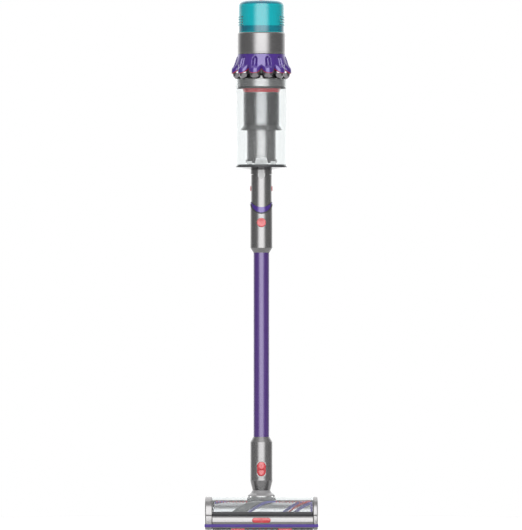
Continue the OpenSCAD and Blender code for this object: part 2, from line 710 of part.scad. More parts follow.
motor_housing();
motor_body();
impeller();
filter_cap();
filter_pleats();
filter_boss();
cyclone_cover();
cyclone_cones();
cyclone_manifold();
bin_top_ring();
bin_seal_lip();
shroud_seal_ring();
shroud_mesh();
shroud_skirt();
inner_duct();
handle_left_shell();
handle_right_shell();
housing_screws();
display_lens();
control_board();
power_button();
bin_runner();
bin_release_lever();
battery_case();
battery_cells();
battery_latch();
bin_cylinder();
bin_lid();
lid_clips();
inlet_neck();
lid_catch();
tool_collar();
side_button_left();
side_button_right();
crevice_nozzle();
wand_sleeve();
wand_rim_seal();
wand_upper_collar();
wand_tube();
wand_button();
wand_lower_collar();
head_button();
neck_cuff();
neck_yoke();
neck_bellows();
head_chassis();
brush_window();
end_cap_left();
debris_comb();
front_bumper();
bumper_strip();
sole_plate();
brush_motor();
brush_core();
bristle_strips();
felt_strip();
brush_release_cap();
rear_wheel_left();
rear_wheel_right();
gate_slider();
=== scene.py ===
"""Cordless stick vacuum cleaner: the visible pieces, finishes and stage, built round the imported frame.

Sizes are in metres. +Z runs up the wand, -Y is the front, and the origin lies under the wand, level with the
foot of the cleaner head. The floor of the stage lies lower, clear of every pose.
"""

import math

import bmesh
import bpy
from mathutils import Matrix, Vector


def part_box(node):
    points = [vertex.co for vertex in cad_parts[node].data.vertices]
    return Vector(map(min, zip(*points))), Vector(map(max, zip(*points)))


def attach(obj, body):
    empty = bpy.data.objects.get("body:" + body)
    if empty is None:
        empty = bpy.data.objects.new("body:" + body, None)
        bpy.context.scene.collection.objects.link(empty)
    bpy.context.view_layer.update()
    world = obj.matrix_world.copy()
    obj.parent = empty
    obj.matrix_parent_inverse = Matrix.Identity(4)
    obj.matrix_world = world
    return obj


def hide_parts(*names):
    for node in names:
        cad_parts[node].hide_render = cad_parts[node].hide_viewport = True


bl_info = {
    "name": "Cordless stick vacuum",
    "version": (1, 0, 0),
    "blender": (4, 5, 0),
    "location": "3D View > Sidebar > Vacuum",
    "description": "Builds a cordless stick vacuum cleaner round its working frame",
    "category": "Add Mesh",
}

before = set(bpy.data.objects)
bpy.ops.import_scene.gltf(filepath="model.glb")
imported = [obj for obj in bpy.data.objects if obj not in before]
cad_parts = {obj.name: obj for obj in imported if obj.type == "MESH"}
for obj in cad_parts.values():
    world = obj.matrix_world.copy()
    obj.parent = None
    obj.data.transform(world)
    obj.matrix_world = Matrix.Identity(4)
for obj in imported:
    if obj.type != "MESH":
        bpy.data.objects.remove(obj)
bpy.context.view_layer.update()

MM = 0.001
TURN = 2 * math.pi


# ---------------------------------------------------------------- places read from the frame


BOXES = {}


def box(node):
    """Low and high corners of a frame node, measured once."""
    if node not in BOXES:
        BOXES[node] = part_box(node)
    return BOXES[node]


def low(node):
    """Lowest corner of a frame node."""
    return box(node)[0]


def high(node):
    """Highest corner of a frame node."""
    return box(node)[1]


def middle(node):
    """Centre of a frame node's box."""
    lo, hi = box(node)
    return (lo + hi) / 2


BRUSH_Y = middle("brush_release_cap").y
BRUSH_Z = middle("brush_release_cap").z
HEAD_LEFT = low("end_cap_left").x
HEAD_RIGHT = high("head_chassis").x
CHAMBER_LEFT = high("end_cap_left").x
CHAMBER_RIGHT = high("brush_window").x + 0.2 * MM
NOSE_Y = low("front_bumper").y
CYCLONES = 12
CYCLONE_RING = 56.4 * MM
FRONT = -math.pi / 2


# ---------------------------------------------------------------- node trees as plain sums


class Val:
    """One socket of a node tree, with the sums that finishes and trees are written in."""

    def __init__(self, net, socket):
        self.net = net
        self.socket = socket

    def _sum(self, operation, *terms):
        return self.net.node("ShaderNodeMath", {"operation": operation}, dict(enumerate(terms)))

    def __add__(self, other):
        return self._sum("ADD", self, other)

    def __radd__(self, other):
        return self._sum("ADD", other, self)

    def __sub__(self, other):
        return self._sum("SUBTRACT", self, other)

    def __rsub__(self, other):
        return self._sum("SUBTRACT", other, self)

    def __mul__(self, other):
        return self._sum("MULTIPLY", self, other)

    def __rmul__(self, other):
        return self._sum("MULTIPLY", other, self)

    def __truediv__(self, other):
        return self._sum("DIVIDE", self, other)

    def __pow__(self, other):
        return self._sum("POWER", self, other)

    def __abs__(self):
        return self._sum("ABSOLUTE", self)

    def call(self, operation, *others):
        """Any other operation of a Math node on this value."""
        return self._sum(operation, self, *others)

    def rise(self, start, end):
        """0 up to start and 1 past end, eased between them."""
        settings = {"interpolation_type": "SMOOTHSTEP"}
        limits = {"Value": self, "From Min": start, "From Max": end}
        return self.net.node("ShaderNodeMapRange", settings, limits)

    def fall(self, start, end):
        """1 up to start and 0 past end, eased between them."""
        return 1 - self.rise(start, end)


class Net:
    """Adds nodes to one tree."""

    def __init__(self, tree):
        self.tree = tree

    def node(self, kind, settings=None, values=None, out=0):
        """A node of that type, its settings made first, then its sockets' values or links."""
        made = self.tree.nodes.new(kind)
        for key, value in (settings or {}).items():
            if key == "stops":
                self.ramp(made.color_ramp, value)
            else:
                setattr(made, key, value)
        for key, value in (values or {}).items():
            if isinstance(value, Val):
                self.tree.links.new(value.socket, made.inputs[key])
            else:
                made.inputs[key].default_value = value
        return Val(self, made.outputs[out]) if made.outputs else made

    @staticmethod
    def ramp(ramp, stops):
        """Sets a colour ramp's stops from (place, colour) pairs."""
        while len(ramp.elements) < len(stops):
            ramp.elements.new(0.5)
        for element, (place, colour) in zip(ramp.elements, stops):
            element.position = place
            element.color = colour


class Finish(Net):
    """A material being built, with its Principled shader's sockets set by name."""

    def __init__(self, name):
        self.material = bpy.data.materials.new(name)
        self.material.use_nodes = True
        super().__init__(self.material.node_tree)
        self.tree.nodes.clear()
        self.out = self.tree.nodes.new("ShaderNodeOutputMaterial")
        self.place = self.node("ShaderNodeTexCoord", out="Object")

    def axis(self, name):
        """One of X, Y, Z of the object coordinates."""
        return self.node("ShaderNodeSeparateXYZ", values={"Vector": self.place}, out=name)

    def noise(self, scale, detail=3.0, stretch=(1, 1, 1), rough=0.5):
        """Noise of about scale features a metre, from 0 to 1."""
        spread = self.node("ShaderNodeMapping", values={"Vector": self.place, "Scale": stretch})
        values = {"Vector": spread, "Scale": scale, "Detail": detail, "Roughness": rough}
        return self.node("ShaderNodeTexNoise", values=values)

    def mix(self, share, one, two):
        """Colour one where share is 0, colour two where it is 1."""
        return self.node("ShaderNodeMix", {"data_type": "RGBA"}, {0: share, 6: one, 7: two}, out=2)

    def bump(self, height, distance, strength=1.0):
        """A normal raised by height times distance."""
        values = {"Height": height, "Distance": distance, "Strength": strength}
        return self.node("ShaderNodeBump", values=values)

    def principled(self, **sockets):
        """The Principled shader; names use _ for spaces."""
        values = {key.replace("_", " "): value for key, value in sockets.items()}
        return self.node("ShaderNodeBsdfPrincipled", values=values)

    def done(self, shader):
        """Ends the material with that shader."""
        self.tree.links.new(shader.socket, self.out.inputs["Surface"])
        return self.material


def tint(colour, factor=1.0):
    """An opaque colour, scaled."""
    return (colour[0] * factor, colour[1] * factor, colour[2] * factor, 1.0)


# ---------------------------------------------------------------- finishes


def moulded(name, colour, roughness, grain=900.0, depth=0.012, metallic=0.0, coat=0.0, shine=0.5):
    """Moulded plastic: a fine spark-eroded grain, slight clouding and rubbed patches."""
    f = Finish(name)
    fine = f.noise(grain * 4, 2.0)
    cloud = f.noise(18.0, 4.0)
    rubbed = f.noise(70.0, 5.0, rough=0.65).rise(0.58, 0.75)
    base = f.mix(cloud.rise(0.3, 0.7), tint(colour, 0.93), tint(colour, 1.07))
    shade = f.mix(fine.rise(0.45, 0.8) * 0.2, base, tint(colour, 0.8))
    return f.done(f.principled(
        Base_Color=shade,
        Roughness=fine * 0.08 + cloud * 0.06 + rubbed * -0.05 + (roughness - 0.06),
        Metallic=metallic,
        Specular_IOR_Level=shine,
        Coat_Weight=coat,
        Coat_Roughness=0.08,
        Normal=f.bump(fine, depth * MM),
    ))


def nickel_paint(colour):
    """Metallic paint over moulded plastic: tiny flakes under a satin lacquer."""
    f = Finish("nickel_paint")
    cells = {"Vector": f.place, "Scale": 5200.0}
    flake = f.node("ShaderNodeTexVoronoi", {"feature": "F1"}, cells, out="Color")
    spark = f.node("ShaderNodeSeparateColor", values={"Color": flake}, out="Red")
    cloud = f.noise(24.0, 4.0)
    base = f.mix(spark.rise(0.35, 1.0) * 0.6, tint(colour, 0.9), tint(colour, 1.25))
    return f.done(f.principled(
        Base_Color=base,
        Metallic=0.82,
        Roughness=cloud * 0.05 + spark * 0.06 + 0.19,
        Coat_Weight=0.15,
        Coat_Roughness=0.1,
        Normal=f.bump(spark, 0.002 * MM, 0.4),
    ))


def anodised_tube(colour, streak):
    """Anodised wand tube: drawing lines along the tube in a clear dyed layer."""
    f = Finish("anodised_tube")
    drawn = f.noise(600.0, 3.0, stretch=(1, 1, 0.01))
    cloud = f.noise(9.0, 3.0)
    base = f.mix(drawn.rise(0.3, 0.75), tint(colour, 0.9), tint(streak))
    return f.done(f.principled(
        Base_Color=base,
        Metallic=0.12,
        Roughness=drawn * 0.1 + cloud * 0.04 + 0.2,
        Coat_Weight=0.35,
        Coat_Roughness=0.12,
        Normal=f.bump(drawn, 0.006 * MM),
    ))


def filter_teal(colour, seen_through_and_shade):
    """Tinted filter cap with dark bands painted at its foot and round its crown: partly the pleat pack and
    its end ring seen through the wall, partly painted shade and reflection.
    """
    f = Finish("filter_teal")
    z0 = low("filter_cap").z
    z1 = high("filter_cap").z
    reach = high("filter_cap").x
    z = f.axis("Z")
    radius = (f.axis("X") ** 2 + f.axis("Y") ** 2).call("SQRT")
    # Painted shade and reflection: dark bands at the foot and on the shoulder of the crown, which also stand
    # for the parts seen through the wall.
    foot = z.rise(z0 + 0.8 * MM, z0 + 2.2 * MM) * z.fall(z0 + 14 * MM, z0 + 16.5 * MM)
    crown = z.rise(z1 - 13.5 * MM, z1 - 11 * MM) * radius.fall(reach - 1.6 * MM, reach - 0.6 * MM)
    shoulder_seen_through_and_shade = crown * radius.rise(reach - 19 * MM, reach - 13 * MM)
    cloud = f.noise(30.0, 3.0)
    shade = (foot + shoulder_seen_through_and_shade).call("MINIMUM", 1.0) * 0.85
    base = f.mix(shade, tint(colour), tint(seen_through_and_shade))
    warm = f.mix(cloud.rise(0.35, 0.7) * 0.25, base, tint(colour, 1.2))
    fine = f.noise(2600.0, 2.0)
    return f.done(f.principled(
        Base_Color=warm,
        Roughness=cloud * 0.05 + 0.1,
        Subsurface_Weight=0.15,
        Subsurface_Radius=(0.002, 0.004, 0.004),
        Specular_IOR_Level=0.4,
        Coat_Weight=0.15,
        Coat_Roughness=0.05,
        Normal=f.bump(fine, 0.002 * MM),
    ))


def cyclone_violet(colour):
    """Glossy violet cyclone cover: flow lines from moulding."""
    f = Finish("cyclone_violet")
    flow = f.noise(60.0, 4.0, stretch=(1, 1, 0.35))
    fine = f.noise(3000.0, 2.0)
    base = f.mix(flow.rise(0.3, 0.7), tint(colour, 0.92), tint(colour, 1.1))
    return f.done(f.principled(
        Base_Color=base,
        Metallic=0.15,
        Roughness=flow * 0.06 + 0.14,
        Coat_Weight=0.3,
        Coat_Roughness=0.06,
        Normal=f.bump(fine, 0.002 * MM),
    ))


def signal_red(colour):
    """Glossy red of every part the hand presses or turns, a little translucent."""
    f = Finish("signal_red")
    cloud = f.noise(120.0, 3.0)
    fine = f.noise(3500.0, 2.0)
    base = f.mix(cloud.rise(0.3, 0.7), tint(colour, 0.92), tint(colour, 1.1))
    return f.done(f.principled(
        Base_Color=base,
        Roughness=cloud * 0.08 + 0.16,
        Subsurface_Weight=0.1,
        Subsurface_Radius=(0.002, 0.0005, 0.0005),
        Coat_Weight=0.25,
        Coat_Roughness=0.06,
        Normal=f.bump(fine, 0.003 * MM),
    ))


def bright_metal(name, colour, roughness, lines=(1, 1, 1), depth=0.002):
    """Bare or plated metal with fine lines in one direction and faint staining."""
    f = Finish(name)
    line = f.noise(900.0, 3.0, stretch=lines)
    stain = f.noise(35.0, 4.0)
    base = f.mix(stain.rise(0.4, 0.8) * 0.5, tint(colour), tint(colour, 0.86))
    return f.done(f.principled(
        Base_Color=base,
        Metallic=1.0,
        Roughness=line * 0.07 + stain * 0.04 + (roughness - 0.05),
        Normal=f.bump(line, depth * MM),
    ))


def clear_wall(name, colour, body, rim, roughness):
    """Clear moulding seen through: a faint film, a denser rim, fine polishing marks."""
    f = Finish(name)
    haze = f.noise(40.0, 4.0)
    marks = f.noise(1400.0, 2.0, stretch=(1, 1, 0.08))
    edge = f.node("ShaderNodeLayerWeight", values={"Blend": 0.35}, out="Facing")
    through = f.node("ShaderNodeBsdfTransparent", values={"Color": tint(colour)})
    film = f.principled(
        Base_Color=tint(colour, 0.9),
        Roughness=haze * 0.04 + marks * 0.03 + roughness,
        Coat_Weight=0.5,
        Coat_Roughness=0.03,
    )
    share = edge ** 4 * rim + haze * 0.02 + body
    shader = f.node("ShaderNodeMixShader", values={0: share, 1: through, 2: film})
    return f.done(shader)


def felt_charcoal(colour):
    """Charcoal felt strip: matted fibres with a soft sheen."""
    f = Finish("felt_charcoal")
    fibre = f.noise(2200.0, 6.0, rough=0.75)
    clump = f.noise(260.0, 4.0)
    base = f.mix(fibre.rise(0.35, 0.7), tint(colour, 0.6), tint(colour, 1.6))
    return f.done(f.principled(
        Base_Color=base,
        Roughness=clump * 0.1 + 0.8,
        Sheen_Weight=0.35,
        Sheen_Roughness=0.4,
        Normal=f.bump(fibre + clump, 0.25 * MM),
    ))


def bristle_nylon(name, colour, tip):
    """Nylon bristles, paler where light comes through their tips."""
    f = Finish(name)
    reach_y = (f.axis("Y") - BRUSH_Y) ** 2
    reach_z = (f.axis("Z") - BRUSH_Z) ** 2
    radius = (reach_y + reach_z).call("SQRT")
    fibre = f.noise(1800.0, 3.0)
    toward = radius.rise(27 * MM, 33 * MM) * 0.7 + fibre * 0.3
    base = f.mix(toward, tint(colour), tint(tip))
    return f.done(f.principled(
        Base_Color=base,
        Roughness=fibre * 0.15 + 0.35,
        Sheen_Weight=0.1,
        Normal=f.bump(fibre, 0.05 * MM),
    ))


def pleated_paper(colour):
    """Filter paper: fibres and a light grey bloom of dust in its folds."""
    f = Finish("pleated_paper")
    fibre = f.noise(1600.0, 6.0, rough=0.7)
    dust = f.noise(45.0, 4.0).rise(0.45, 0.75)
    base = f.mix(dust * 0.4, tint(colour), tint(colour, 0.7))
    return f.done(f.principled(
        Base_Color=base,
        Roughness=fibre * 0.1 + 0.85,
        Normal=f.bump(fibre, 0.08 * MM),
    ))


def screen_glass():
    """Display glass: black, hard and glossy, with faint finger smears."""
    f = Finish("screen_glass")
    smear = f.noise(90.0, 4.0, stretch=(1, 0.4, 1))
    base = f.mix(smear.rise(0.4, 0.7), (0.004, 0.004, 0.006, 1), (0.012, 0.012, 0.016, 1))
    return f.done(f.principled(
        Base_Color=base,
        Roughness=smear * 0.12 + 0.04,
        Coat_Weight=1.0,
        Coat_Roughness=0.03,
        Normal=f.bump(smear, 0.004 * MM),
    ))


def circuit_green():
    """Circuit board lacquer over copper tracks."""
    f = Finish("circuit_green")
    cells = {"Vector": f.place, "Scale": 420.0}
    track = f.node("ShaderNodeTexVoronoi", {"feature": "DISTANCE_TO_EDGE"}, cells)
    base = f.mix(track.fall(0.02, 0.06), (0.01, 0.09, 0.04, 1), (0.05, 0.2, 0.08, 1))
    return f.done(f.principled(Base_Color=base, Roughness=track * 0.2 + 0.3, Coat_Weight=0.4))


def cell_wrap():
    """Shrink wrap of the battery cells, with creases."""
    f = Finish("cell_wrap")
    crease = f.noise(160.0, 4.0, stretch=(1, 1, 0.2))
    base = f.mix(crease.rise(0.4, 0.7), (0.16, 0.1, 0.42, 1), (0.2, 0.13, 0.5, 1))
    return f.done(f.principled(Base_Color=base, Roughness=crease * 0.15 + 0.25,
                               Normal=f.bump(crease, 0.05 * MM)))


FINISHES = {}


def finish(name):
    """The finish of that name, made once from the colours in the scene's settings."""
    if name in FINISHES:
        return FINISHES[name]
    c = bpy.context.scene.vacuum_colours
    makers = {
        "nickel": lambda: nickel_paint(c.nickel),
        "tube": lambda: anodised_tube(c.tube, c.tube_streak),
        "teal": lambda: filter_teal(c.teal, c.teal_seen_through_and_shade),
        "violet": lambda: cyclone_violet(c.violet),
        "strip": lambda: moulded("strip_violet", c.strip, 0.4, shine=0.12),
        "red": lambda: signal_red(c.red),
        "chrome": lambda: bright_metal("cone_chrome", (0.2, 0.19, 0.2), 0.1),
        "alloy": lambda: bright_metal("brush_alloy", (0.15, 0.15, 0.155), 0.22, (0.02, 1, 1), 0.004),
        "mesh": lambda: bright_metal("shroud_steel", (0.14, 0.14, 0.143), 0.2, (1, 1, 0.05)),
        "steel": lambda: bright_metal("screw_steel", (0.4, 0.4, 0.42), 0.3),
        "skirt": lambda: bright_metal("skirt_steel", (0.095, 0.095, 0.097), 0.14),
        "motor": lambda: bright_metal("motor_steel", (0.3, 0.3, 0.32), 0.3, (1, 1, 0.1)),
        "dark": lambda: moulded("grip_charcoal", c.dark, 0.42, depth=0.03),
        "gloss": lambda: moulded("gloss_charcoal", c.dark, 0.2, depth=0.004, shine=0.15),
        "black": lambda: moulded("seal_rubber", (0.012, 0.012, 0.013), 0.6, 500, 0.04),
        "tyre": lambda: moulded("wheel_rubber", (0.02, 0.02, 0.021), 0.7, 400, 0.08),
        "clear": lambda: clear_wall("clear_bin", (0.97, 0.98, 0.98), 0.012, 0.5, 0.03),
        "window": lambda: clear_wall("clear_window", (0.96, 0.97, 0.97), 0.03, 0.6, 0.04),
        "smoke": lambda: clear_wall("smoke_yoke", (0.3, 0.295, 0.3), 0.5, 0.4, 0.12),
        "pale": lambda: moulded("catch_pale", c.pale, 0.3, coat=0.2),
        "felt": lambda: felt_charcoal((0.035, 0.036, 0.038)),
        "bristle": lambda: bristle_nylon("bristle_violet", c.bristle, c.bristle_tip),
        "bristle_red": lambda: bristle_nylon("bristle_red", c.red, tint(c.red, 1.6)[:3]),
        "paper": lambda: pleated_paper((0.42, 0.42, 0.4)),
        "glass": screen_glass,
        "board": circuit_green,
        "cell": cell_wrap,
    }
    FINISHES[name] = makers[name]()
    return FINISHES[name]


# ---------------------------------------------------------------- mesh making


def merged(bm, part, way=None):
    """Takes a finished part's faces into bm, placed by way."""
    if way is not None:
        bmesh.ops.transform(part, matrix=way, verts=part.verts)
    spare = bpy.data.meshes.new("spare")
    part.to_mesh(spare)
    part.free()
    bm.from_mesh(spare)
    bpy.data.meshes.remove(spare)


def bridged(bm, one, two):
    """Joins two closed rings of as many points with faces."""
    count = len(one)
    for k in range(count):
        j = (k + 1) % count
        bm.faces.new((one[k], one[j], two[j], two[k]))


def filleted(points, steps=6):
    """A closed outline from (u, v, radius) corners, its corners rounded by arcs."""
    out = []
    for i, (u, v, radius) in enumerate(points):
        here = Vector((u, v))
        back = Vector(points[i - 1][:2]) - here
        ahead = Vector(points[(i + 1) % len(points)][:2]) - here
        if radius <= 0 or back.length < 1e-9 or ahead.length < 1e-9:
            out.append((u, v))
            continue
        back_way = back.normalized()
        ahead_way = ahead.normalized()
        half = back_way.angle(ahead_way) / 2
        if half > math.pi / 2 - 0.01:
            out.append((u, v))
            continue
        run = min(radius / math.tan(half), back.length * 0.49, ahead.length * 0.49)
        arc = run * math.tan(half)
        centre = here + (back_way + ahead_way).normalized() * (arc / math.sin(half))
        start = here + back_way * run - centre
        end = here + ahead_way * run - centre
        sweep = start.angle_signed(end)
        for k in range(steps + 1):
            turned_by = start.copy()
            turned_by.rotate(Matrix.Rotation(-sweep * k / steps, 2))
            out.append(tuple(centre + turned_by))
    return out


def to_object(bm, name, material, smooth=35.0, turn_out=True):
    """Ends a bmesh as an object with that material, merged, with its faces outward."""
    bmesh.ops.remove_doubles(bm, verts=bm.verts, dist=1e-6)
    bmesh.ops.dissolve_degenerate(bm, edges=bm.edges, dist=1e-7)
    if turn_out:
        bmesh.ops.recalc_face_normals(bm, faces=bm.faces)
    mesh = bpy.data.meshes.new(name)
    bm.to_mesh(mesh)
    bm.free()
    mesh.polygons.foreach_set("use_smooth", [True] * len(mesh.polygons))
    mesh.set_sharp_from_angle(angle=math.radians(smooth))
    made = bpy.data.objects.new(name, mesh)
    bpy.context.scene.collection.objects.link(made)
    if material is not None:
        mesh.materials.append(material)
    return made


def turned(bm, profile, steps=128, centre=(0.0, 0.0)):
    """Adds a closed (radius, height) outline turned about an upright axis."""
    rings = []
    for k in range(steps):
        angle = TURN * k / steps
        c, s = math.cos(angle), math.sin(angle)
        rings.append([bm.verts.new((centre[0] + r * c, centre[1] + r * s, z)) for r, z in profile])
    count = len(profile)
    for k in range(steps):
        one, two = rings[k], rings[(k + 1) % steps]
        for i in range(count):
            j = (i + 1) % count
            if profile[i][0] < 1e-9 and profile[j][0] < 1e-9:
                continue
            bm.faces.new((one[i], two[i], two[j], one[j]))


def along_x(bm, profile, x_first, steps=96, y=None, z=None):
    """Adds a closed (radius, run) outline turned about an axis along X."""
    start = len(bm.verts)
    turned(bm, profile, steps)
    bm.verts.ensure_lookup_table()
    added = bm.verts[start:]
    y = BRUSH_Y if y is None else y
    z = BRUSH_Z if z is None else z
    for v in added:
        px, py, run = v.co
        v.co = (x_first + run, y + px, z + py)


def pushed(bm, outline, lo, hi, axis="X", bevel=0.0, segments=3):
    """Adds a flat outline pushed along an axis from lo to hi, its long edges rounded."""
    places = {
        "X": lambda u, v, w: (w, u, v),
        "Y": lambda u, v, w: (u, w, v),
        "Z": lambda u, v, w: (u, v, w),
    }
    place = places[axis]
    part = bmesh.new()
    ends = []
    for w in (lo, hi):
        ends.append([part.verts.new(place(u, v, w)) for u, v in outline])
    count = len(outline)
    part.faces.new(ends[0])
    part.faces.new(ends[1])
    for i in range(count):
        j = (i + 1) % count
        part.faces.new((ends[0][i], ends[0][j], ends[1][j], ends[1][i]))
    bmesh.ops.recalc_face_normals(part, faces=part.faces)
    if bevel > 0:
        caps = {"X": 0, "Y": 1, "Z": 2}[axis]
        edges = [e for e in part.edges if abs(e.verts[0].co[caps] - e.verts[1].co[caps]) < 1e-9]
        bmesh.ops.bevel(part, geom=edges, offset=bevel, segments=segments, profile=0.5,
                        affect="EDGES", clamp_overlap=True)
    merged(bm, part)


def block(bm, lo, hi, bevel=0.0, segments=3):
    """Adds a box with all its edges rounded."""
    part = bmesh.new()
    bmesh.ops.create_cube(part, size=1.0)
    size = Vector(hi) - Vector(lo)
    centre = (Vector(hi) + Vector(lo)) / 2
    for v in part.verts:
        v.co = Vector((v.co.x * size.x, v.co.y * size.y, v.co.z * size.z)) + centre
    if bevel > 0:
        limit = min(size) * 0.49
        bmesh.ops.bevel(part, geom=part.edges[:], offset=min(bevel, limit), segments=segments,
                        profile=0.5, affect="EDGES")
    merged(bm, part)


def baked(piece, name=None):
    """The piece with its modifiers made part of a plain mesh."""
    bpy.context.view_layer.update()
    ready = bpy.context.evaluated_depsgraph_get()
    mesh = bpy.data.meshes.new_from_object(piece.evaluated_get(ready))
    old = piece.data
    piece.modifiers.clear()
    piece.data = mesh
    if name:
        piece.name = name
    mesh.name = piece.name
    if old.users == 0:
        bpy.data.meshes.remove(old)
    return piece


def cut(piece, cutter_bm, smooth=35.0):
    """Takes the cutter's solid out of the piece."""
    tool = to_object(cutter_bm, "cutter", None)
    step = piece.modifiers.new("cut", "BOOLEAN")
    step.operation = "DIFFERENCE"
    step.solver = "EXACT"
    step.object = tool
    baked(piece)
    bpy.data.objects.remove(tool)
    piece.data.polygons.foreach_set("use_smooth", [True] * len(piece.data.polygons))
    piece.data.set_sharp_from_angle(angle=math.radians(smooth))
    return piece


def oblong(width, height, radius, centre=(0.0, 0.0), steps=6):
    """Outline of a rectangle with round corners."""
    u, v = centre
    w, h = width / 2, height / 2
    corners = [(u - w, v - h, radius), (u + w, v - h, radius), (u + w, v + h, radius),
               (u - w, v + h, radius)]
    return filleted(corners, steps)


def fitted(piece, body, slot, *nodes):
    """Rides a piece on its body and hides the frame nodes it stands for; its slot is not used."""
    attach(piece, body)
    if nodes:
        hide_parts(*nodes)
    return piece


# ---------------------------------------------------------------- geometry trees


class Grown(Net):
    """A geometry tree being built, with named inputs."""

    def __init__(self, name, **inputs):
        tree = bpy.data.node_groups.new(name, "GeometryNodeTree")
        super().__init__(tree)
        sockets = tree.interface
        sockets.new_socket("Geometry", in_out="INPUT", socket_type="NodeSocketGeometry")
        for key, kind in inputs.items():
            sockets.new_socket(key, in_out="INPUT", socket_type=f"NodeSocket{kind}")
        sockets.new_socket("Material", in_out="INPUT", socket_type="NodeSocketMaterial")
        sockets.new_socket("Geometry", in_out="OUTPUT", socket_type="NodeSocketGeometry")
        self.entry = tree.nodes.new("NodeGroupInput")
        self.exit = tree.nodes.new("NodeGroupOutput")

    def given(self, name):
        """One of the tree's inputs."""
        return Val(self, self.entry.outputs[name])

    def vector(self, x, y, z):
        """A vector from three values."""
        return self.node("ShaderNodeCombineXYZ", values={0: x, 1: y, 2: z})

    def moved(self, geometry, place):
        """Geometry with its points at place."""
        values = {"Geometry": geometry, "Position": place}
        return self.node("GeometryNodeSetPosition", values=values)

    def copies(self, points, unit, turn=(0.0, 0.0, 0.0)):
        """A copy of the unit object on every point, turned."""
        shape = self.node("GeometryNodeObjectInfo", values={"Object": unit}, out="Geometry")
        values = {"Points": points, "Instance": shape, "Rotation": turn}
        return self.node("GeometryNodeInstanceOnPoints", values=values)

    def random(self, low_end, high_end, seed):
        """A random number for each point, from a fixed seed."""
        values = {2: low_end, 3: high_end, "Seed": seed}
        return self.node("FunctionNodeRandomValue", {"data_type": "FLOAT"}, values, out=1)

    def end(self, geometry):
        """Ends the tree with real copies in the given material."""
        real = self.node("GeometryNodeRealizeInstances", values={"Geometry": geometry})
        values = {"Geometry": real, "Material": self.given("Material")}
        dressed = self.node("GeometryNodeSetMaterial", values=values)
        self.tree.links.new(dressed.socket, self.exit.inputs["Geometry"])
        return self.tree


def grown(name, tree, material, start=None, **inputs):
    """Runs a tree once on an object and returns its result as a plain mesh."""
    mesh = start or bpy.data.meshes.new(name)
    piece = bpy.data.objects.new(name, mesh)
    bpy.context.scene.collection.objects.link(piece)
    step = piece.modifiers.new("grow", "NODES")
    step.node_group = tree
    inputs["Material"] = finish(material)
    for item in tree.interface.items_tree:
        if item.in_out == "INPUT" and item.name in inputs:
            step[item.identifier] = inputs[item.name]
    return baked(piece)


def drop(*pieces):
    """Removes helper objects."""
    for piece in pieces:
        bpy.data.objects.remove(piece)


def ring_tree():
    """Copies of a unit set on a level circle round the wand axis."""
    g = Grown("ring_of_units", Unit="Object", Count="Int", Radius="Float", First="Float",
              Turn="Float")
    line = g.node("GeometryNodeMeshLine", values={"Count": g.given("Count")})
    index = g.node("GeometryNodeInputIndex")
    angle = g.given("First") + index * TURN / g.given("Count")
    x = angle.call("COSINE") * g.given("Radius")
    y = angle.call("SINE") * g.given("Radius")
    ring = g.moved(line, g.vector(x, y, 0.0))
    return g.end(g.copies(ring, g.given("Unit"), g.vector(0.0, 0.0, angle + g.given("Turn"))))


def row_tree():
    """Copies of a unit in a straight row."""
    g = Grown("row_of_units", Unit="Object", Count="Int", Start="Vector", Step="Vector",
              Turn="Vector")
    values = {"Count": g.given("Count"), "Start Location": g.given("Start"),
              "Offset": g.given("Step")}
    line = g.node("GeometryNodeMeshLine", values=values)
    return g.end(g.copies(line, g.given("Unit"), g.given("Turn")))


def spot_tree():
    """Copies of a unit on every point of the start mesh."""
    g = Grown("units_on_spots", Unit="Object", Turn="Vector")
    return g.end(g.copies(g.given("Geometry"), g.given("Unit"), g.given("Turn")))


def sheet_tree():
    """A perforated sheet: unit cells laid side by side, then rolled round the wand axis."""
    g = Grown("perforated_sheet", Unit="Object", Across="Int", Up="Int", Pitch="Float",
              Radius="Float", Foot="Float")
    wide = g.given("Pitch") * (g.given("Across") - 1)
    tall = g.given("Pitch") * (g.given("Up") - 1)
    values = {"Size X": wide, "Size Y": tall, "Vertices X": g.given("Across"),
              "Vertices Y": g.given("Up")}
    cells = g.copies(g.node("GeometryNodeMeshGrid", values=values), g.given("Unit"))
    flat = g.node("GeometryNodeRealizeInstances", values={"Geometry": cells})
    place = g.node("GeometryNodeInputPosition")
    x = g.node("ShaderNodeSeparateXYZ", values={"Vector": place}, out="X")
    y = g.node("ShaderNodeSeparateXYZ", values={"Vector": place}, out="Y")
    z = g.node("ShaderNodeSeparateXYZ", values={"Vector": place}, out="Z")
    angle = x / g.given("Radius") + FRONT
    reach = g.given("Radius") + z
    rolled = g.moved(flat, g.vector(angle.call("COSINE") * reach, angle.call("SINE") * reach,
                                    y + g.given("Foot") + tall / 2 + g.given("Pitch") / 2))
    closed = g.node("GeometryNodeMergeByDistance", values={"Geometry": rolled, "Distance": 2e-5})
    return g.end(closed)


def strip_tree():
    """Bristle tufts standing along a strip that winds round the brush bar."""
    g = Grown("tufts_on_strip", Unit="Object", Count="Int", Rows="Int", First="Float",
              Spread="Float", Wind="Float", Start="Float", Length="Float", Radius="Float")
    total = g.given("Count") * g.given("Rows")
    line = g.node("GeometryNodeMeshLine", values={"Count": total})
    index = g.node("GeometryNodeInputIndex")
    row = index.call("MODULO", g.given("Rows"))
    share = (index - row) / (total - 1) + g.random(-0.002, 0.002, 11)
    across = (row + g.random(0.2, 0.8, 12)) / g.given("Rows") * g.given("Spread")
    angle = g.given("First") + across - share * g.given("Wind")
    y = angle.call("SINE") * g.given("Radius") + BRUSH_Y
    z = BRUSH_Z - angle.call("COSINE") * g.given("Radius")
    x = g.given("Start") + share * g.given("Length")
    tufts = g.moved(line, g.vector(x, y, z))
    lean = angle + math.pi + g.random(-0.12, 0.12, 13)
    turn = g.vector(lean, g.random(-0.12, 0.12, 14), 0.0)
    return g.end(g.copies(tufts, g.given("Unit"), turn))


# ---------------------------------------------------------------- filter and motor band


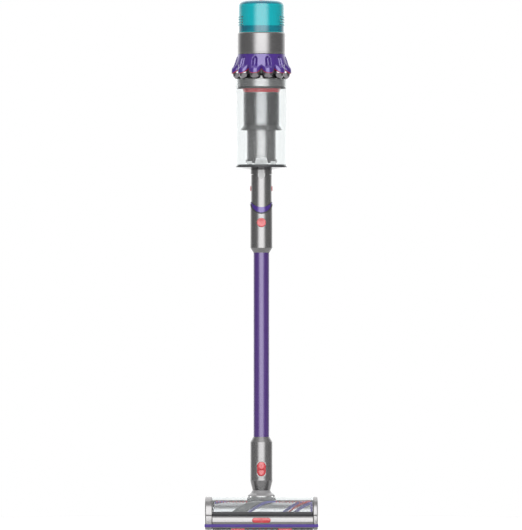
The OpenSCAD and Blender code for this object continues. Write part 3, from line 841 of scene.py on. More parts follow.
def filter_cap(sizes):
    """Teal filter cap with its side slots, and the red boss through its crown."""
    lo, hi = box("filter_cap")
    r, foot, crown = hi.x, lo.z, hi.z
    wall, corner, hole = 1.6 * MM, sizes.cap_corner, 5.2 * MM
    bm = bmesh.new()
    turned(bm, filleted([
        (r - wall, foot, 0), (r, foot, 0.6 * MM), (r, crown, corner), (hole, crown, 0.5 * MM),
        (hole, crown - wall, 0), (r - wall, crown - wall, corner - wall),
    ], 12), 160)
    cap = to_object(bm, "filter_cap_shell", finish("teal"), 50)
    slots = bmesh.new()
    for side in (0, 180):
        for column in range(6):
            for line in range(4):
                part = bmesh.new()
                z = foot + (17.2 + 6 * line) * MM
                block(part, (r - 5 * MM, -4.4 * MM, z - 1.2 * MM),
                      (r + 4 * MM, 4.4 * MM, z + 1.2 * MM), 1.1 * MM, 2)
                angle = math.radians(side - 32.5 + 13 * column)
                merged(slots, part, Matrix.Rotation(angle, 4, "Z"))
    cut(cap, slots, 50)
    fitted(cap, "filter", "teal", "filter_cap")
    tip = high("filter_boss").z
    bm = bmesh.new()
    turned(bm, filleted([
        (0, crown - 4.6 * MM, 0), (8 * MM, crown - 4.6 * MM, 0), (8 * MM, crown - 2.5 * MM, 0),
        (5 * MM, crown - 2.5 * MM, 0), (5 * MM, tip - 0.4 * MM, 1.8 * MM), (0, tip, 0),
    ]), 64)
    fitted(to_object(bm, "filter_boss_button", finish("red")), "filter", "red", "filter_boss")
    bm = bmesh.new()
    for k in range(3):
        part = bmesh.new()
        block(part, (-7 * MM, -r + 1.5 * MM, foot + 3 * MM), (7 * MM, -r + 3.2 * MM, foot + 6 * MM),
              0.6 * MM)
        merged(bm, part, Matrix.Rotation(TURN * (k + 0.5) / 3, 4, "Z"))
    fitted(to_object(bm, "filter_locking_lugs", finish("teal")), "filter", "teal")


def motor_band():
    """Painted motor band with its rolled foot and chamfered lip."""
    lo, hi = box("motor_housing")
    r, foot, lip = hi.x, lo.z, hi.z
    inner, floor, hole = 3 * MM, 3 * MM, 20 * MM
    bm = bmesh.new()
    turned(bm, filleted([
        (hole, foot, 0), (r, foot, 1.4 * MM), (r, foot + 3.4 * MM, 0.4 * MM),
        (r - 0.25 * MM, foot + 3.7 * MM, 0.2 * MM), (r - 0.25 * MM, foot + 4.1 * MM, 0.2 * MM),
        (r, foot + 4.4 * MM, 0.4 * MM), (r, lip - 2.4 * MM, 1.0 * MM),
        (r - 1.8 * MM, lip, 0.5 * MM), (r - inner, lip, 0), (r - inner, foot + floor, 0),
        (hole, foot + floor, 0),
    ], 5), 160)
    fitted(to_object(bm, "motor_band", finish("nickel"), 50), "main", "nickel", "motor_housing")


# ---------------------------------------------------------------- cyclones

HOOD = 14.5 * MM
PANEL_TOP, PANEL_SHOULDER = 55.0 * MM, 63.6 * MM
ARCH_TOP, ARCH_ROUND = 5.6 * MM, 6.4 * MM
GROOVE_DEPTH, GROOVE_EDGE = 3.0 * MM, 2.2 * MM
BAR_HEIGHT, BAR_HALF = 3.6 * MM, 3.7 * MM


def from_cyclone(angle):
    """Angle from the nearest cyclone's own centre line."""
    step = TURN / CYCLONES
    return (angle - FRONT) % step - step / 2


def cover_edge(angle):
    """Height of the cover's lower edge: low under each cyclone, high between them."""
    foot = low("cyclone_cover").z
    share = abs(from_cyclone(angle)) / (math.pi / CYCLONES)
    return foot + 10.5 * MM * share ** 2.4


def eased(value, start, end):
    """0 before start, 1 past end, eased between."""
    t = min(max((value - start) / (end - start), 0.0), 1.0)
    return t * t * (3 - 2 * t)


def cover_reach(angle, z):
    """Outside radius of the sculpted cover at an angle and height."""
    top = high("cyclone_cover").z
    off = from_cyclone(angle)
    across = abs(CYCLONE_RING * math.sin(off)) * 1.06
    down = top - z
    panel = PANEL_TOP + (PANEL_SHOULDER - PANEL_TOP) * eased(down, -6 * MM, 30 * MM)
    chord = max(HOOD ** 2 - (CYCLONE_RING * math.sin(off)) ** 2, (3.2 * MM) ** 2)
    hood = CYCLONE_RING * math.cos(off) + math.sqrt(chord)
    low_share = eased(down, 22 * MM, 37 * MM)
    reach = panel * (1 - low_share) + hood * low_share
    rise = min(max((ARCH_TOP + ARCH_ROUND - down) / ARCH_ROUND, 0.0), 1.0)
    half = ARCH_ROUND * math.sqrt(max(1 - rise ** 2, 0.0))
    fade = 1 - eased(down, 26 * MM, 33 * MM)
    groove = (1 - eased(across, half - GROOVE_EDGE, half + 0.2 * MM)) * fade
    bar = max(1 - (across / BAR_HALF) ** 2, 0.0) ** 0.5
    bar *= eased(down, ARCH_TOP + 1.0 * MM, ARCH_TOP + 5.0 * MM)
    fade_bar = 1 - eased(down, 24 * MM, 36 * MM)
    return reach - GROOVE_DEPTH * groove + BAR_HEIGHT * bar * fade_bar


def cyclone_cover():
    """Violet cover: twelve arched ribs that swell into hoods over the cones."""
    columns, rows, wall = CYCLONES * 44, 46, 1.5 * MM
    top = high("cyclone_cover").z
    bm = bmesh.new()
    outer, inner = [], []
    for k in range(columns):
        angle = FRONT + TURN * k / columns
        edge = cover_edge(angle)
        c, s = math.cos(angle), math.sin(angle)
        line, back = [], []
        for i in range(rows + 1):
            z = top + (edge - top) * i / rows
            r = cover_reach(angle, z)
            if i == rows:
                r -= 0.5 * MM
            line.append(bm.verts.new((r * c, r * s, z)))
            if i % 23 == 0:
                r -= wall + (1.5 * MM if i < rows else 0.0)
                back.append(bm.verts.new((r * c, r * s, z - (wall if i == 0 else 0))))
        outer.append(line)
        inner.append(back)
    for k in range(columns):
        j = (k + 1) % columns
        for i in range(rows):
            bm.faces.new((outer[k][i], outer[k][i + 1], outer[j][i + 1], outer[j][i]))
        for i in range(len(inner[k]) - 1):
            bm.faces.new((inner[k][i], inner[j][i], inner[j][i + 1], inner[k][i + 1]))
        bm.faces.new((outer[k][0], outer[j][0], inner[j][0], inner[k][0]))
        bm.faces.new((outer[k][-1], inner[k][-1], inner[j][-1], outer[j][-1]))
    cover = to_object(bm, "cyclone_cover_shell", finish("violet"), 60)
    fitted(cover, "main", "purple", "cyclone_cover")
    bm = bmesh.new()
    ring = []
    for k in range(columns):
        angle = FRONT + TURN * k / columns
        edge = cover_edge(angle)
        r = cover_reach(angle, edge + 0.2 * MM)
        c, s = math.cos(angle), math.sin(angle)
        section = [(r - 2.6 * MM, edge + 0.6 * MM), (r - 0.35 * MM, edge + 0.5 * MM),
                   (r - 0.35 * MM, edge - 0.8 * MM), (r - 2.6 * MM, edge - 0.9 * MM)]
        ring.append([bm.verts.new((q * c, q * s, z)) for q, z in section])
    for k in range(columns):
        bridged(bm, ring[k], ring[(k + 1) % columns])
    fitted(to_object(bm, "cyclone_gasket", finish("red"), 60), "main", "red")


def cyclone_cones():
    """Twelve chromed cone bulbs on their dark plate."""
    foot = low("cyclone_cones").z - 0.9 * MM
    r = 13.0 * MM
    bm = bmesh.new()
    turned(bm, filleted([
        (0, foot + 1.0 * MM, 0), (5.2 * MM, foot + 1.0 * MM, 0.3 * MM), (6.0 * MM, foot, 0.8 * MM),
        (10.8 * MM, foot + 4.2 * MM, 7 * MM), (r, foot + 12.5 * MM, 9 * MM),
        (r - 0.2 * MM, foot + 23 * MM, 0.5 * MM), (0, foot + 23 * MM, 0),
    ], 8), 40)
    unit = to_object(bm, "cone_unit", None, 40)
    first = FRONT + math.pi / CYCLONES
    cones = grown("cyclone_cone_bulbs", ring_tree(), "chrome", Unit=unit, Count=CYCLONES,
                  Radius=CYCLONE_RING - 0.6 * MM, First=first, Turn=0.0)
    drop(unit)
    fitted(cones, "main", "chrome", "cyclone_cones")
    bm = bmesh.new()
    plate = foot + 7.5 * MM
    turned(bm, filleted([
        (36.6 * MM, plate, 0), (53 * MM, plate, 1 * MM), (58 * MM, plate + 4 * MM, 2 * MM),
        (58 * MM, plate + 15 * MM, 0), (36.6 * MM, plate + 15 * MM, 0),
    ]), 128)
    fitted(to_object(bm, "cone_plate", finish("gloss")), "main", "dark")


# ---------------------------------------------------------------- shroud


def perforated_cell(pitch, hole, thick):
    """One square cell of the sheet with an eight-sided hole."""
    bm = bmesh.new()
    half = pitch / 2
    rim = [(-half, -half), (0, -half), (half, -half), (half, 0), (half, half), (0, half),
           (-half, half), (-half, 0)]
    loops = []
    for z in (0.0, -thick):
        square = [bm.verts.new((u, v, z)) for u, v in rim]
        bore = []
        for k in range(8):
            angle = math.radians(-135 + 45 * k)
            bore.append(bm.verts.new((hole * math.cos(angle), hole * math.sin(angle), z)))
        loops.append((square, bore))
    for k in range(8):
        j = (k + 1) % 8
        (front, front_bore), (back, back_bore) = loops
        bm.faces.new((front[k], front[j], front_bore[j], front_bore[k]))
        bm.faces.new((back[k], back_bore[k], back_bore[j], back[j]))
        bm.faces.new((front_bore[k], front_bore[j], back_bore[j], back_bore[k]))
    return to_object(bm, "cell_unit", None, 30, turn_out=False)


def shroud(sizes):
    """Perforated steel shroud between its two plain hems."""
    lo, hi = box("shroud_mesh")
    r, foot, top = hi.x - 0.1 * MM, lo.z, hi.z
    across = sizes.shroud_holes
    pitch = TURN * r / across
    hem = 3.4 * MM
    up = int((top - foot - 2 * hem) / pitch)
    cell = perforated_cell(pitch, pitch * 0.26, 0.5 * MM)
    sheet = grown("shroud_perforated_sheet", sheet_tree(), "mesh", Unit=cell, Across=across, Up=up,
                  Pitch=pitch, Radius=r, Foot=foot + hem)
    drop(cell)
    sheet.data.set_sharp_from_angle(angle=math.radians(40))
    fitted(sheet, "main", "steel", "shroud_mesh")
    start = foot + hem + up * pitch
    bm = bmesh.new()
    for z0, z1 in ((foot, foot + hem), (start, top)):
        turned(bm, filleted([
            (r - 1.0 * MM, z0, 0), (r, z0, 0.2 * MM), (r, z1, 0.1 * MM), (r - 1.0 * MM, z1, 0),
        ], 3), 128)
    fitted(to_object(bm, "shroud_hems", finish("mesh")), "main", "steel")


# ---------------------------------------------------------------- handle and battery


def handle_outline():
    """Side outline of the handle, its finger gap, and the places that follow from them."""
    lo, hi = box("handle_left_shell")
    battery = box("battery_case")
    rear, top, foot = hi.y, hi.z, lo.z
    dock = battery[1].z + 0.5 * MM
    grip = dock + 13 * MM
    front = battery[0].y - 0.6 * MM
    gap = 63 * MM
    gap_back = front - 7 * MM
    gap_front = gap_back - gap
    spine = gap_front - 11 * MM
    runner = 61 * MM
    outline = filleted([
        (49.7 * MM, grip, 0), (49.7 * MM, top - 2 * MM, 0), (96 * MM, top, 22 * MM),
        (146 * MM, top - 10 * MM, 40 * MM), (rear - 10 * MM, top - 16 * MM, 12 * MM),
        (rear, top - 30 * MM, 12 * MM), (rear, dock, 0), (front, dock, 0),
        (front, foot, 7 * MM), (runner, foot, 0), (runner, foot + 33.5 * MM, 0),
        (spine, foot + 33.5 * MM, 0), (spine, grip, 0),
    ], 6)
    hole = oblong(gap, grip - foot - 30 * MM, 13 * MM,
                  ((gap_front + gap_back) / 2, (foot + 30 * MM + grip) / 2), 8)
    return outline, hole


def handle(sizes):
    """Both handle shells, rounded to the hand and cut round the screen, with the screws."""
    outline, hole = handle_outline()
    half = high("handle_right_shell").x
    bm = bmesh.new()
    pushed(bm, outline, -half, half)
    body = to_object(bm, "handle_blank", finish("dark"))
    cutter = bmesh.new()
    pushed(cutter, hole, -half * 2, half * 2)
    cut(body, cutter)
    bm = bmesh.new()
    bm.from_mesh(body.data)
    drop(body)
    bmesh.ops.dissolve_limit(bm, angle_limit=math.radians(1), verts=bm.verts, edges=bm.edges)
    rim = [e for e in bm.edges if abs(abs(e.verts[0].co.x) - half) < 1e-5
           and abs(e.verts[0].co.x - e.verts[1].co.x) < 1e-6 and len(e.link_faces) == 2
           and e.calc_face_angle(0) > 0.6]
    bmesh.ops.bevel(bm, geom=rim, offset=sizes.grip_round, segments=6, profile=0.55,
                    affect="EDGES", clamp_overlap=False)
    blank = bpy.data.meshes.new("blank")
    bm.to_mesh(blank)
    bm.free()
    lens_lo, lens_hi = box("display_lens")
    key = middle("power_button")
    band_lo, band_hi = box("motor_housing")
    for side, name in ((-1, "left"), (1, "right")):
        shell = bpy.data.objects.new(f"handle_shell_{name}", blank.copy())
        bpy.context.scene.collection.objects.link(shell)
        shell.data.materials.clear()
        shell.data.materials.append(finish("dark"))
        cutter = bmesh.new()
        x0, x1 = sorted((side * 0.06 * MM, -side * 40 * MM))
        block(cutter, (x0, 0, lens_lo.z - 0.4), (x1, 0.4, lens_hi.z + 0.2))
        cut(shell, cutter, 40)
        cutter = bmesh.new()
        turned(cutter, [(0, band_lo.z - 5 * MM), (band_hi.x + 0.15 * MM, band_lo.z - 5 * MM),
                        (band_hi.x + 0.15 * MM, band_hi.z + 9 * MM), (0, band_hi.z + 9 * MM)], 96)
        cut(shell, cutter, 40)
        cutter = bmesh.new()
        turned(cutter, [(0, key.z - 12 * MM), (8.5 * MM, key.z - 12 * MM),
                        (8.5 * MM, key.z + 20 * MM), (0, key.z + 20 * MM)], 48, (0.0, key.y))
        pushed(cutter, oblong(28.4 * MM, 30.4 * MM, 5 * MM,
                              (0.0, (lens_lo.y + lens_hi.y) / 2)),
               lens_lo.z - 0.2 * MM, lens_hi.z + 20 * MM, "Z")
        cut(shell, cutter, 40)
        fitted(shell, "main", "dark", f"handle_{name}_shell")
    bpy.data.meshes.remove(blank)
    handle_screws()


def screw_unit(radius, height):
    """A pan head screw with a six-lobed recess, its head towards +Z."""
    bm = bmesh.new()
    lobes = []
    for k in range(24):
        angle = TURN * k / 24
        lobes.append((radius * (0.5 + 0.07 * math.cos(6 * angle)), angle))
    levels = [(1.0, 0.0), (1.0, 0.45), (0.93, 0.8), (0.74, 1.0)]
    rings = []
    for share, z in levels:
        rings.append([bm.verts.new((radius * share * math.cos(TURN * k / 24),
                                    radius * share * math.sin(TURN * k / 24), height * z))
                      for k in range(24)])
    for z in (1.0, 0.25):
        rings.append([bm.verts.new((r * math.cos(a), r * math.sin(a), height * z))
                      for r, a in lobes])
    for one, two in zip(rings, rings[1:]):
        bridged(bm, one, two)
    bm.faces.new(rings[-1])
    bm.faces.new(rings[0])
    return to_object(bm, "screw_unit", None, 35)


def spots(name, places):
    """A mesh of loose points."""
    mesh = bpy.data.meshes.new(name)
    mesh.from_pydata([tuple(p) for p in places], [], [])
    return mesh


def handle_screws():
    """Five recessed screws in the left shell of the handle."""
    lo, hi = box("handle_left_shell")
    gap_back = low("battery_case").y - 7.6 * MM
    spine = gap_back - 74 * MM
    bin_top = high("bin_cylinder").z
    places = [(71 * MM, lo.z + 15 * MM), (gap_back - 12 * MM, lo.z + 15 * MM),
              (spine + 5.5 * MM, bin_top + 40 * MM), (spine + 3 * MM, hi.z - 16 * MM),
              (hi.y - 17 * MM, hi.z - 30 * MM)]
    unit = screw_unit(2.6 * MM, 1.5 * MM)
    face = lo.x - 0.5 * MM
    points = spots("screw_places", [(face + 1.0 * MM, y, z) for y, z in places])
    screws = grown("handle_screws", spot_tree(), "steel", points, Unit=unit,
                   Turn=(0.0, -math.pi / 2, 0.0))
    drop(unit)
    fitted(screws, "main", "steel", "housing_screws")


def battery(sizes):
    """Battery case with its side ribs, latch and foot screws."""
    lo, hi = box("battery_case")
    centre = (0.0, (lo.y + hi.y) / 2)
    bm = bmesh.new()
    pushed(bm, oblong(hi.x - lo.x, hi.y - lo.y, 10 * MM, centre, 8), lo.z, hi.z, "Z", 2.2 * MM, 4)
    case = to_object(bm, "battery_pack", finish("dark"), 40)
    latch_lo, latch_hi = box("battery_latch")
    cutter = bmesh.new()
    block(cutter, (latch_lo.x - 0.4 * MM, latch_lo.y - 1.5 * MM, latch_lo.z - 0.5 * MM),
          (latch_hi.x + 0.4 * MM, hi.y + 5 * MM, latch_hi.z + 0.5 * MM), 0.6 * MM)
    block(cutter, (-24 * MM, hi.y - 0.5 * MM, lo.z + 30 * MM),
          (24 * MM, hi.y + 5 * MM, latch_lo.z - 12 * MM), 0.3 * MM, 1)
    inlet_z = lo.z + 14.5 * MM
    part = bmesh.new()
    turned(part, [(0, -8 * MM), (3.2 * MM, -8 * MM), (3.2 * MM, 2 * MM), (0, 2 * MM)], 32)
    inlet = Matrix.Translation((0, hi.y, inlet_z)) @ Matrix.Rotation(-math.pi / 2, 4, "X")
    merged(cutter, part, inlet)
    cut(case, cutter, 40)
    fitted(case, "battery", "dark", "battery_case")
    bm = bmesh.new()
    block(bm, (-0.7 * MM, -11 * MM, 0), (0.7 * MM, 11 * MM, 1.6 * MM), 0.6 * MM, 2)
    rib = to_object(bm, "rib_unit", None)
    count = sizes.battery_ribs
    step = 6.2 * MM
    for side, name in ((-1, "left"), (1, "right")):
        start = (side * (hi.x - 0.3 * MM), centre[1], lo.z + 34 * MM)
        ribs = grown(f"battery_ribs_{name}", row_tree(), "dark", Unit=rib, Count=count, Start=start,
                     Step=(0.0, 0.0, step), Turn=(0.0, 0.0, 0.0))
        fitted(ribs, "battery", "dark")
    drop(rib)
    unit = screw_unit(2.4 * MM, 1.2 * MM)
    points = spots("screw_places", [(x, centre[1], lo.z + 0.4 * MM) for x in (-22 * MM, 22 * MM)])
    screws = grown("battery_screws", spot_tree(), "steel", points, Unit=unit,
                   Turn=(math.pi, 0.0, 0.0))
    drop(unit)
    fitted(screws, "battery", "steel")


# ---------------------------------------------------------------- parts the hand presses


def pressed_face(bm, outline, base, height, rings=10):
    """Adds a closed cap over a star-shaped outline; height gives the depth at each point."""
    count = len(outline)
    cu = sum(u for u, v in outline) / count
    cv = sum(v for u, v in outline) / count
    loops = []
    for i in range(rings + 1):
        share = 1 - i / rings
        share = share ** 0.8 if i < rings else 0.0
        loop = []
        for u, v in outline:
            pu, pv = cu + (u - cu) * share, cv + (v - cv) * share
            loop.append(bm.verts.new((pu, height(pu, pv, share), pv)))
        loops.append(loop)
    back = [bm.verts.new((u, base, v)) for u, v in outline]
    loops.insert(0, back)
    for one, two in zip(loops, loops[1:]):
        bridged(bm, one, two)
    bm.faces.new(back)


def wand_keys():
    """The round wand button and the oblong head button on the front of the wand."""
    lo, hi = box("wand_button")
    centre = middle("wand_button")
    r = (hi.x - lo.x) / 2
    bm = bmesh.new()
    outline = [(r * math.cos(TURN * k / 64), centre.z + r * math.sin(TURN * k / 64))
               for k in range(64)]

    def dished(u, v, share):
        crown = lo.y + 0.15 * MM
        return crown + 0.9 * MM * (1 - share ** 2) + 1.1 * MM * share ** 14

    pressed_face(bm, outline, hi.y, dished)
    fitted(to_object(bm, "wand_release_button", finish("red")), "wand_key", "red", "wand_button")
    lo, hi = box("head_button")
    centre = middle("head_button")
    bm = bmesh.new()
    outline = oblong(hi.x - lo.x, hi.z - lo.z, 9.7 * MM, (0.0, centre.z), 14)
    reach = -lo.y

    def stepped(u, v, share):
        follow = reach - math.sqrt(reach ** 2 - u ** 2)
        step = 1.1 * MM * eased(centre.z - 1 * MM - v, 0.0, 1.2 * MM)
        ramp = step * (1 - eased(centre.z - 3 * MM - v, 0.0, 11 * MM) * (1 - abs(u) / (8 * MM)))
        face = lo.y + follow + max(ramp, 0.0) + 0.8 * MM * share ** 14
        return min(face, hi.y - 0.3 * MM)

    pressed_face(bm, outline, hi.y, stepped, 16)
    fitted(to_object(bm, "head_release_button", finish("red")), "head_key", "red", "head_button")


def small_keys():
    """Bin lever, battery latch and the two tool buttons."""
    for side, name in ((-1, "left"), (1, "right")):
        lo, hi = box(f"side_button_{name}")
        bm = bmesh.new()
        block(bm, lo, hi, 1.5 * MM, 4)
        for v in bm.verts:
            reach = high("tool_collar").x + 1.5 * MM
            v.co.x -= side * (reach - math.sqrt(reach ** 2 - v.co.y ** 2))
        key = to_object(bm, f"tool_button_{name}", finish("red"))
        fitted(key, f"tool_key_{name}", "red", f"side_button_{name}")
    lo, hi = box("bin_release_lever")
    bm = bmesh.new()
    block(bm, lo, hi, 1.8 * MM, 4)
    lever = to_object(bm, "bin_lever", finish("red"))
    cutter = bmesh.new()
    bmesh.ops.create_uvsphere(cutter, u_segments=48, v_segments=24, radius=13 * MM)
    bmesh.ops.translate(cutter, verts=cutter.verts,
                        vec=(0, hi.y + 9.8 * MM, (lo.z + hi.z) / 2))
    cut(lever, cutter)
    fitted(lever, "release_lever", "red", "bin_release_lever")
    lo, hi = box("battery_latch")
    bm = bmesh.new()
    block(bm, (lo.x, lo.y, lo.z), (hi.x, hi.y - 0.7 * MM, hi.z), 1.2 * MM, 3)
    for k in range(4):
        z = lo.z + (4.2 + 4.6 * k) * MM
        block(bm, (lo.x + 2 * MM, hi.y - 1.8 * MM, z), (hi.x - 2 * MM, hi.y, z + 1.8 * MM),
              0.7 * MM, 3)
    latch = to_object(bm, "battery_latch_key", finish("red"))
    fitted(latch, "battery_key", "red", "battery_latch")


# ---------------------------------------------------------------- cleaner head


def end_outline(inset=0.0):
    """Side outline of the head's end walls."""
    r = high("brush_window").z - BRUSH_Z - inset
    nose = NOSE_Y + 2 * MM + inset
    foot = 1.5 * MM + inset
    arc = [(BRUSH_Y - r * math.cos(a), BRUSH_Z + r * math.sin(a))
           for a in [math.pi * k / 40 for k in range(41)]]
    start = filleted([(BRUSH_Y, foot, 0), (nose, foot, 3 * MM), (nose, BRUSH_Z - 4 * MM, 4 * MM),
                      (BRUSH_Y - r, BRUSH_Z, 0)], 4)
    return start + arc[1:] + [(BRUSH_Y + r - 2 * MM, foot + 3 * MM), (BRUSH_Y + r - 5 * MM, foot)]


def end_caps():
    """Rounded left end cap, and the turning cap of the right end with a coin slot."""
    bm = bmesh.new()
    pushed(bm, end_outline(), HEAD_LEFT, CHAMBER_LEFT, "X", 2.4 * MM, 4)
    along_x(bm, filleted([
        (0, -0.0, 0), (0, 1.2 * MM, 0), (15 * MM, 1.2 * MM, 0), (17 * MM, 0, 0.4 * MM),
        (17 * MM, -2.0 * MM, 0), (0, -2.0 * MM, 0),
    ]), CHAMBER_LEFT + 1.0 * MM, 64)
    cap = to_object(bm, "end_cap_left_shell", finish("nickel"), 40)
    fitted(cap, "head", "nickel", "end_cap_left")
    lo, hi = box("brush_release_cap")
    r = (hi.z - lo.z) / 2
    width = hi.x - lo.x
    bm = bmesh.new()
    along_x(bm, filleted([
        (0, 0, 0), (r, 0, 0.4 * MM), (r, width - 0.2 * MM, 1.6 * MM), (r - 9 * MM, width, 2 * MM),
        (r - 10 * MM, width - 1.2 * MM, 1 * MM), (0, width - 1.2 * MM, 0),
    ]), lo.x, 96)
    cap = to_object(bm, "brush_release_disc", finish("nickel"), 40)
    cutter = bmesh.new()
    block(cutter, (hi.x - 3.4 * MM, BRUSH_Y - 20 * MM, BRUSH_Z - 3.5 * MM),
          (hi.x + 5 * MM, BRUSH_Y + 20 * MM, BRUSH_Z + 3.5 * MM), 1.5 * MM)
    cut(cap, cutter, 40)
    fitted(cap, "end_cap", "nickel", "brush_release_cap")


def chassis():
    """Dark housing behind the brush, the neck socket and the right end wall."""
    r = high("brush_window").z - BRUSH_Z
    neck = middle("neck_yoke")
    pivot_y, pivot_z = neck.y + 6 * MM, high("brush_window").z - 26.4 * MM
    wheel = middle("rear_wheel_left")
    bm = bmesh.new()
    first, last = math.radians(-38), math.radians(49)
    outer = [(BRUSH_Y + (r + 1 * MM) * math.cos(a), BRUSH_Z + (r + 1 * MM) * math.sin(a))
             for a in [first + (last - first) * k / 24 for k in range(25)]]
    inner = [(BRUSH_Y + (r - 1.9 * MM) * math.cos(a), BRUSH_Z + (r - 1.9 * MM) * math.sin(a))
             for a in [last + (first - last) * k / 24 for k in range(25)]]
    pushed(bm, outer + inner, CHAMBER_LEFT + 0.1 * MM, CHAMBER_RIGHT, "X", 0.5 * MM, 2)
    block(bm, (CHAMBER_LEFT + 0.1 * MM, BRUSH_Y + r - 10 * MM, 3.2 * MM),
          (CHAMBER_RIGHT, BRUSH_Y + r - 6 * MM, 14 * MM), 1 * MM)
    half = 24 * MM
    rear = wheel.y - 2 * MM
    body = filleted([
        (BRUSH_Y + r - 3.0 * MM, 3.2 * MM, 1 * MM), (rear, 3.2 * MM, 4 * MM),
        (rear + 3 * MM, 18 * MM, 8 * MM), (pivot_y + 17 * MM, pivot_z - 6 * MM, 8 * MM),
        (pivot_y + 10 * MM, pivot_z - 2 * MM, 2 * MM), (BRUSH_Y + r - 3.0 * MM, pivot_z, 2 * MM),
    ], 6)
    pushed(bm, body, -half, half, "X", 2.0 * MM, 4)
    for side in (-1, 1):
        arm = filleted([
            (wheel.y - 12 * MM, 4 * MM, 2 * MM), (wheel.y + 3 * MM, 5.5 * MM, 3 * MM),
            (wheel.y + 4 * MM, 13 * MM, 3.5 * MM), (wheel.y - 12 * MM, 24 * MM, 4 * MM),
        ], 5)
        pushed(bm, arm, side * 21 * MM, side * 25.6 * MM, "X", 0.8 * MM, 2)
    axle = 2.0 * MM
    along_x(bm, filleted([(0, 0, 0), (axle, 0, 0.3 * MM), (axle, 74 * MM, 0.3 * MM),
                          (0, 74 * MM, 0)], 3), -37 * MM, 32, wheel.y, 9 * MM)
    housing = to_object(bm, "head_housing", finish("dark"), 40)
    fitted(housing, "head", "dark", "head_chassis")
    bm = bmesh.new()
    barrel = 25 * MM
    along_x(bm, filleted([
        (5.1 * MM, -24.5 * MM, 0), (barrel, -24.5 * MM, 3 * MM), (barrel, 24.5 * MM, 3 * MM),
        (5.1 * MM, 24.5 * MM, 0),
    ], 6), 0.0, 96, pivot_y, pivot_z)
    ball = to_object(bm, "neck_barrel", finish("gloss"), 40)
    cutter = bmesh.new()
    turned(cutter, [(0, 0), (12.6 * MM, 0), (12.6 * MM, 40 * MM), (0, 40 * MM)], 64)
    bmesh.ops.translate(cutter, verts=cutter.verts, vec=(0, pivot_y, pivot_z))
    cut(ball, cutter, 40)
    cutter = bmesh.new()
    block(cutter, (-40 * MM, BRUSH_Y, BRUSH_Z - 60 * MM), (40 * MM, BRUSH_Y + 22 * MM, 100 * MM))
    along_x(cutter, [(0, -40 * MM), (r - 2 * MM, -40 * MM), (r - 2 * MM, 40 * MM), (0, 40 * MM)],
            0.0, 96)
    cut(ball, cutter, 40)
    fitted(ball, "head", "dark")
    bm = bmesh.new()
    pushed(bm, end_outline(), CHAMBER_RIGHT, HEAD_RIGHT, "X", 2.4 * MM, 4)
    wall = to_object(bm, "end_wall_right", finish("nickel"), 40)
    cutter = bmesh.new()
    pocket = (high("brush_release_cap").z - BRUSH_Z) + 0.4 * MM
    along_x(cutter, [(0, 0), (pocket, 0), (pocket, 30 * MM), (0, 30 * MM)],
            CHAMBER_RIGHT + 3 * MM, 96)
    cut(wall, cutter, 40)
    fitted(wall, "head", "nickel")
    lip = [(-33 * MM, BRUSH_Z + 22 * MM), (33 * MM, BRUSH_Z + 22 * MM),
           (33 * MM, high("brush_window").z - 3.4 * MM), (20 * MM, high("brush_window").z - 3.0 * MM),
           (-20 * MM, high("brush_window").z - 3.0 * MM), (-33 * MM, high("brush_window").z - 3.4 * MM)]
    bm = bmesh.new()
    pushed(bm, filleted([(u, v, 3 * MM) for u, v in lip], 4), BRUSH_Y + 26.6 * MM,
           BRUSH_Y + 38 * MM, "Y", 1.2 * MM, 3)
    fitted(to_object(bm, "neck_saddle", finish("gloss"), 40), "head", "dark")


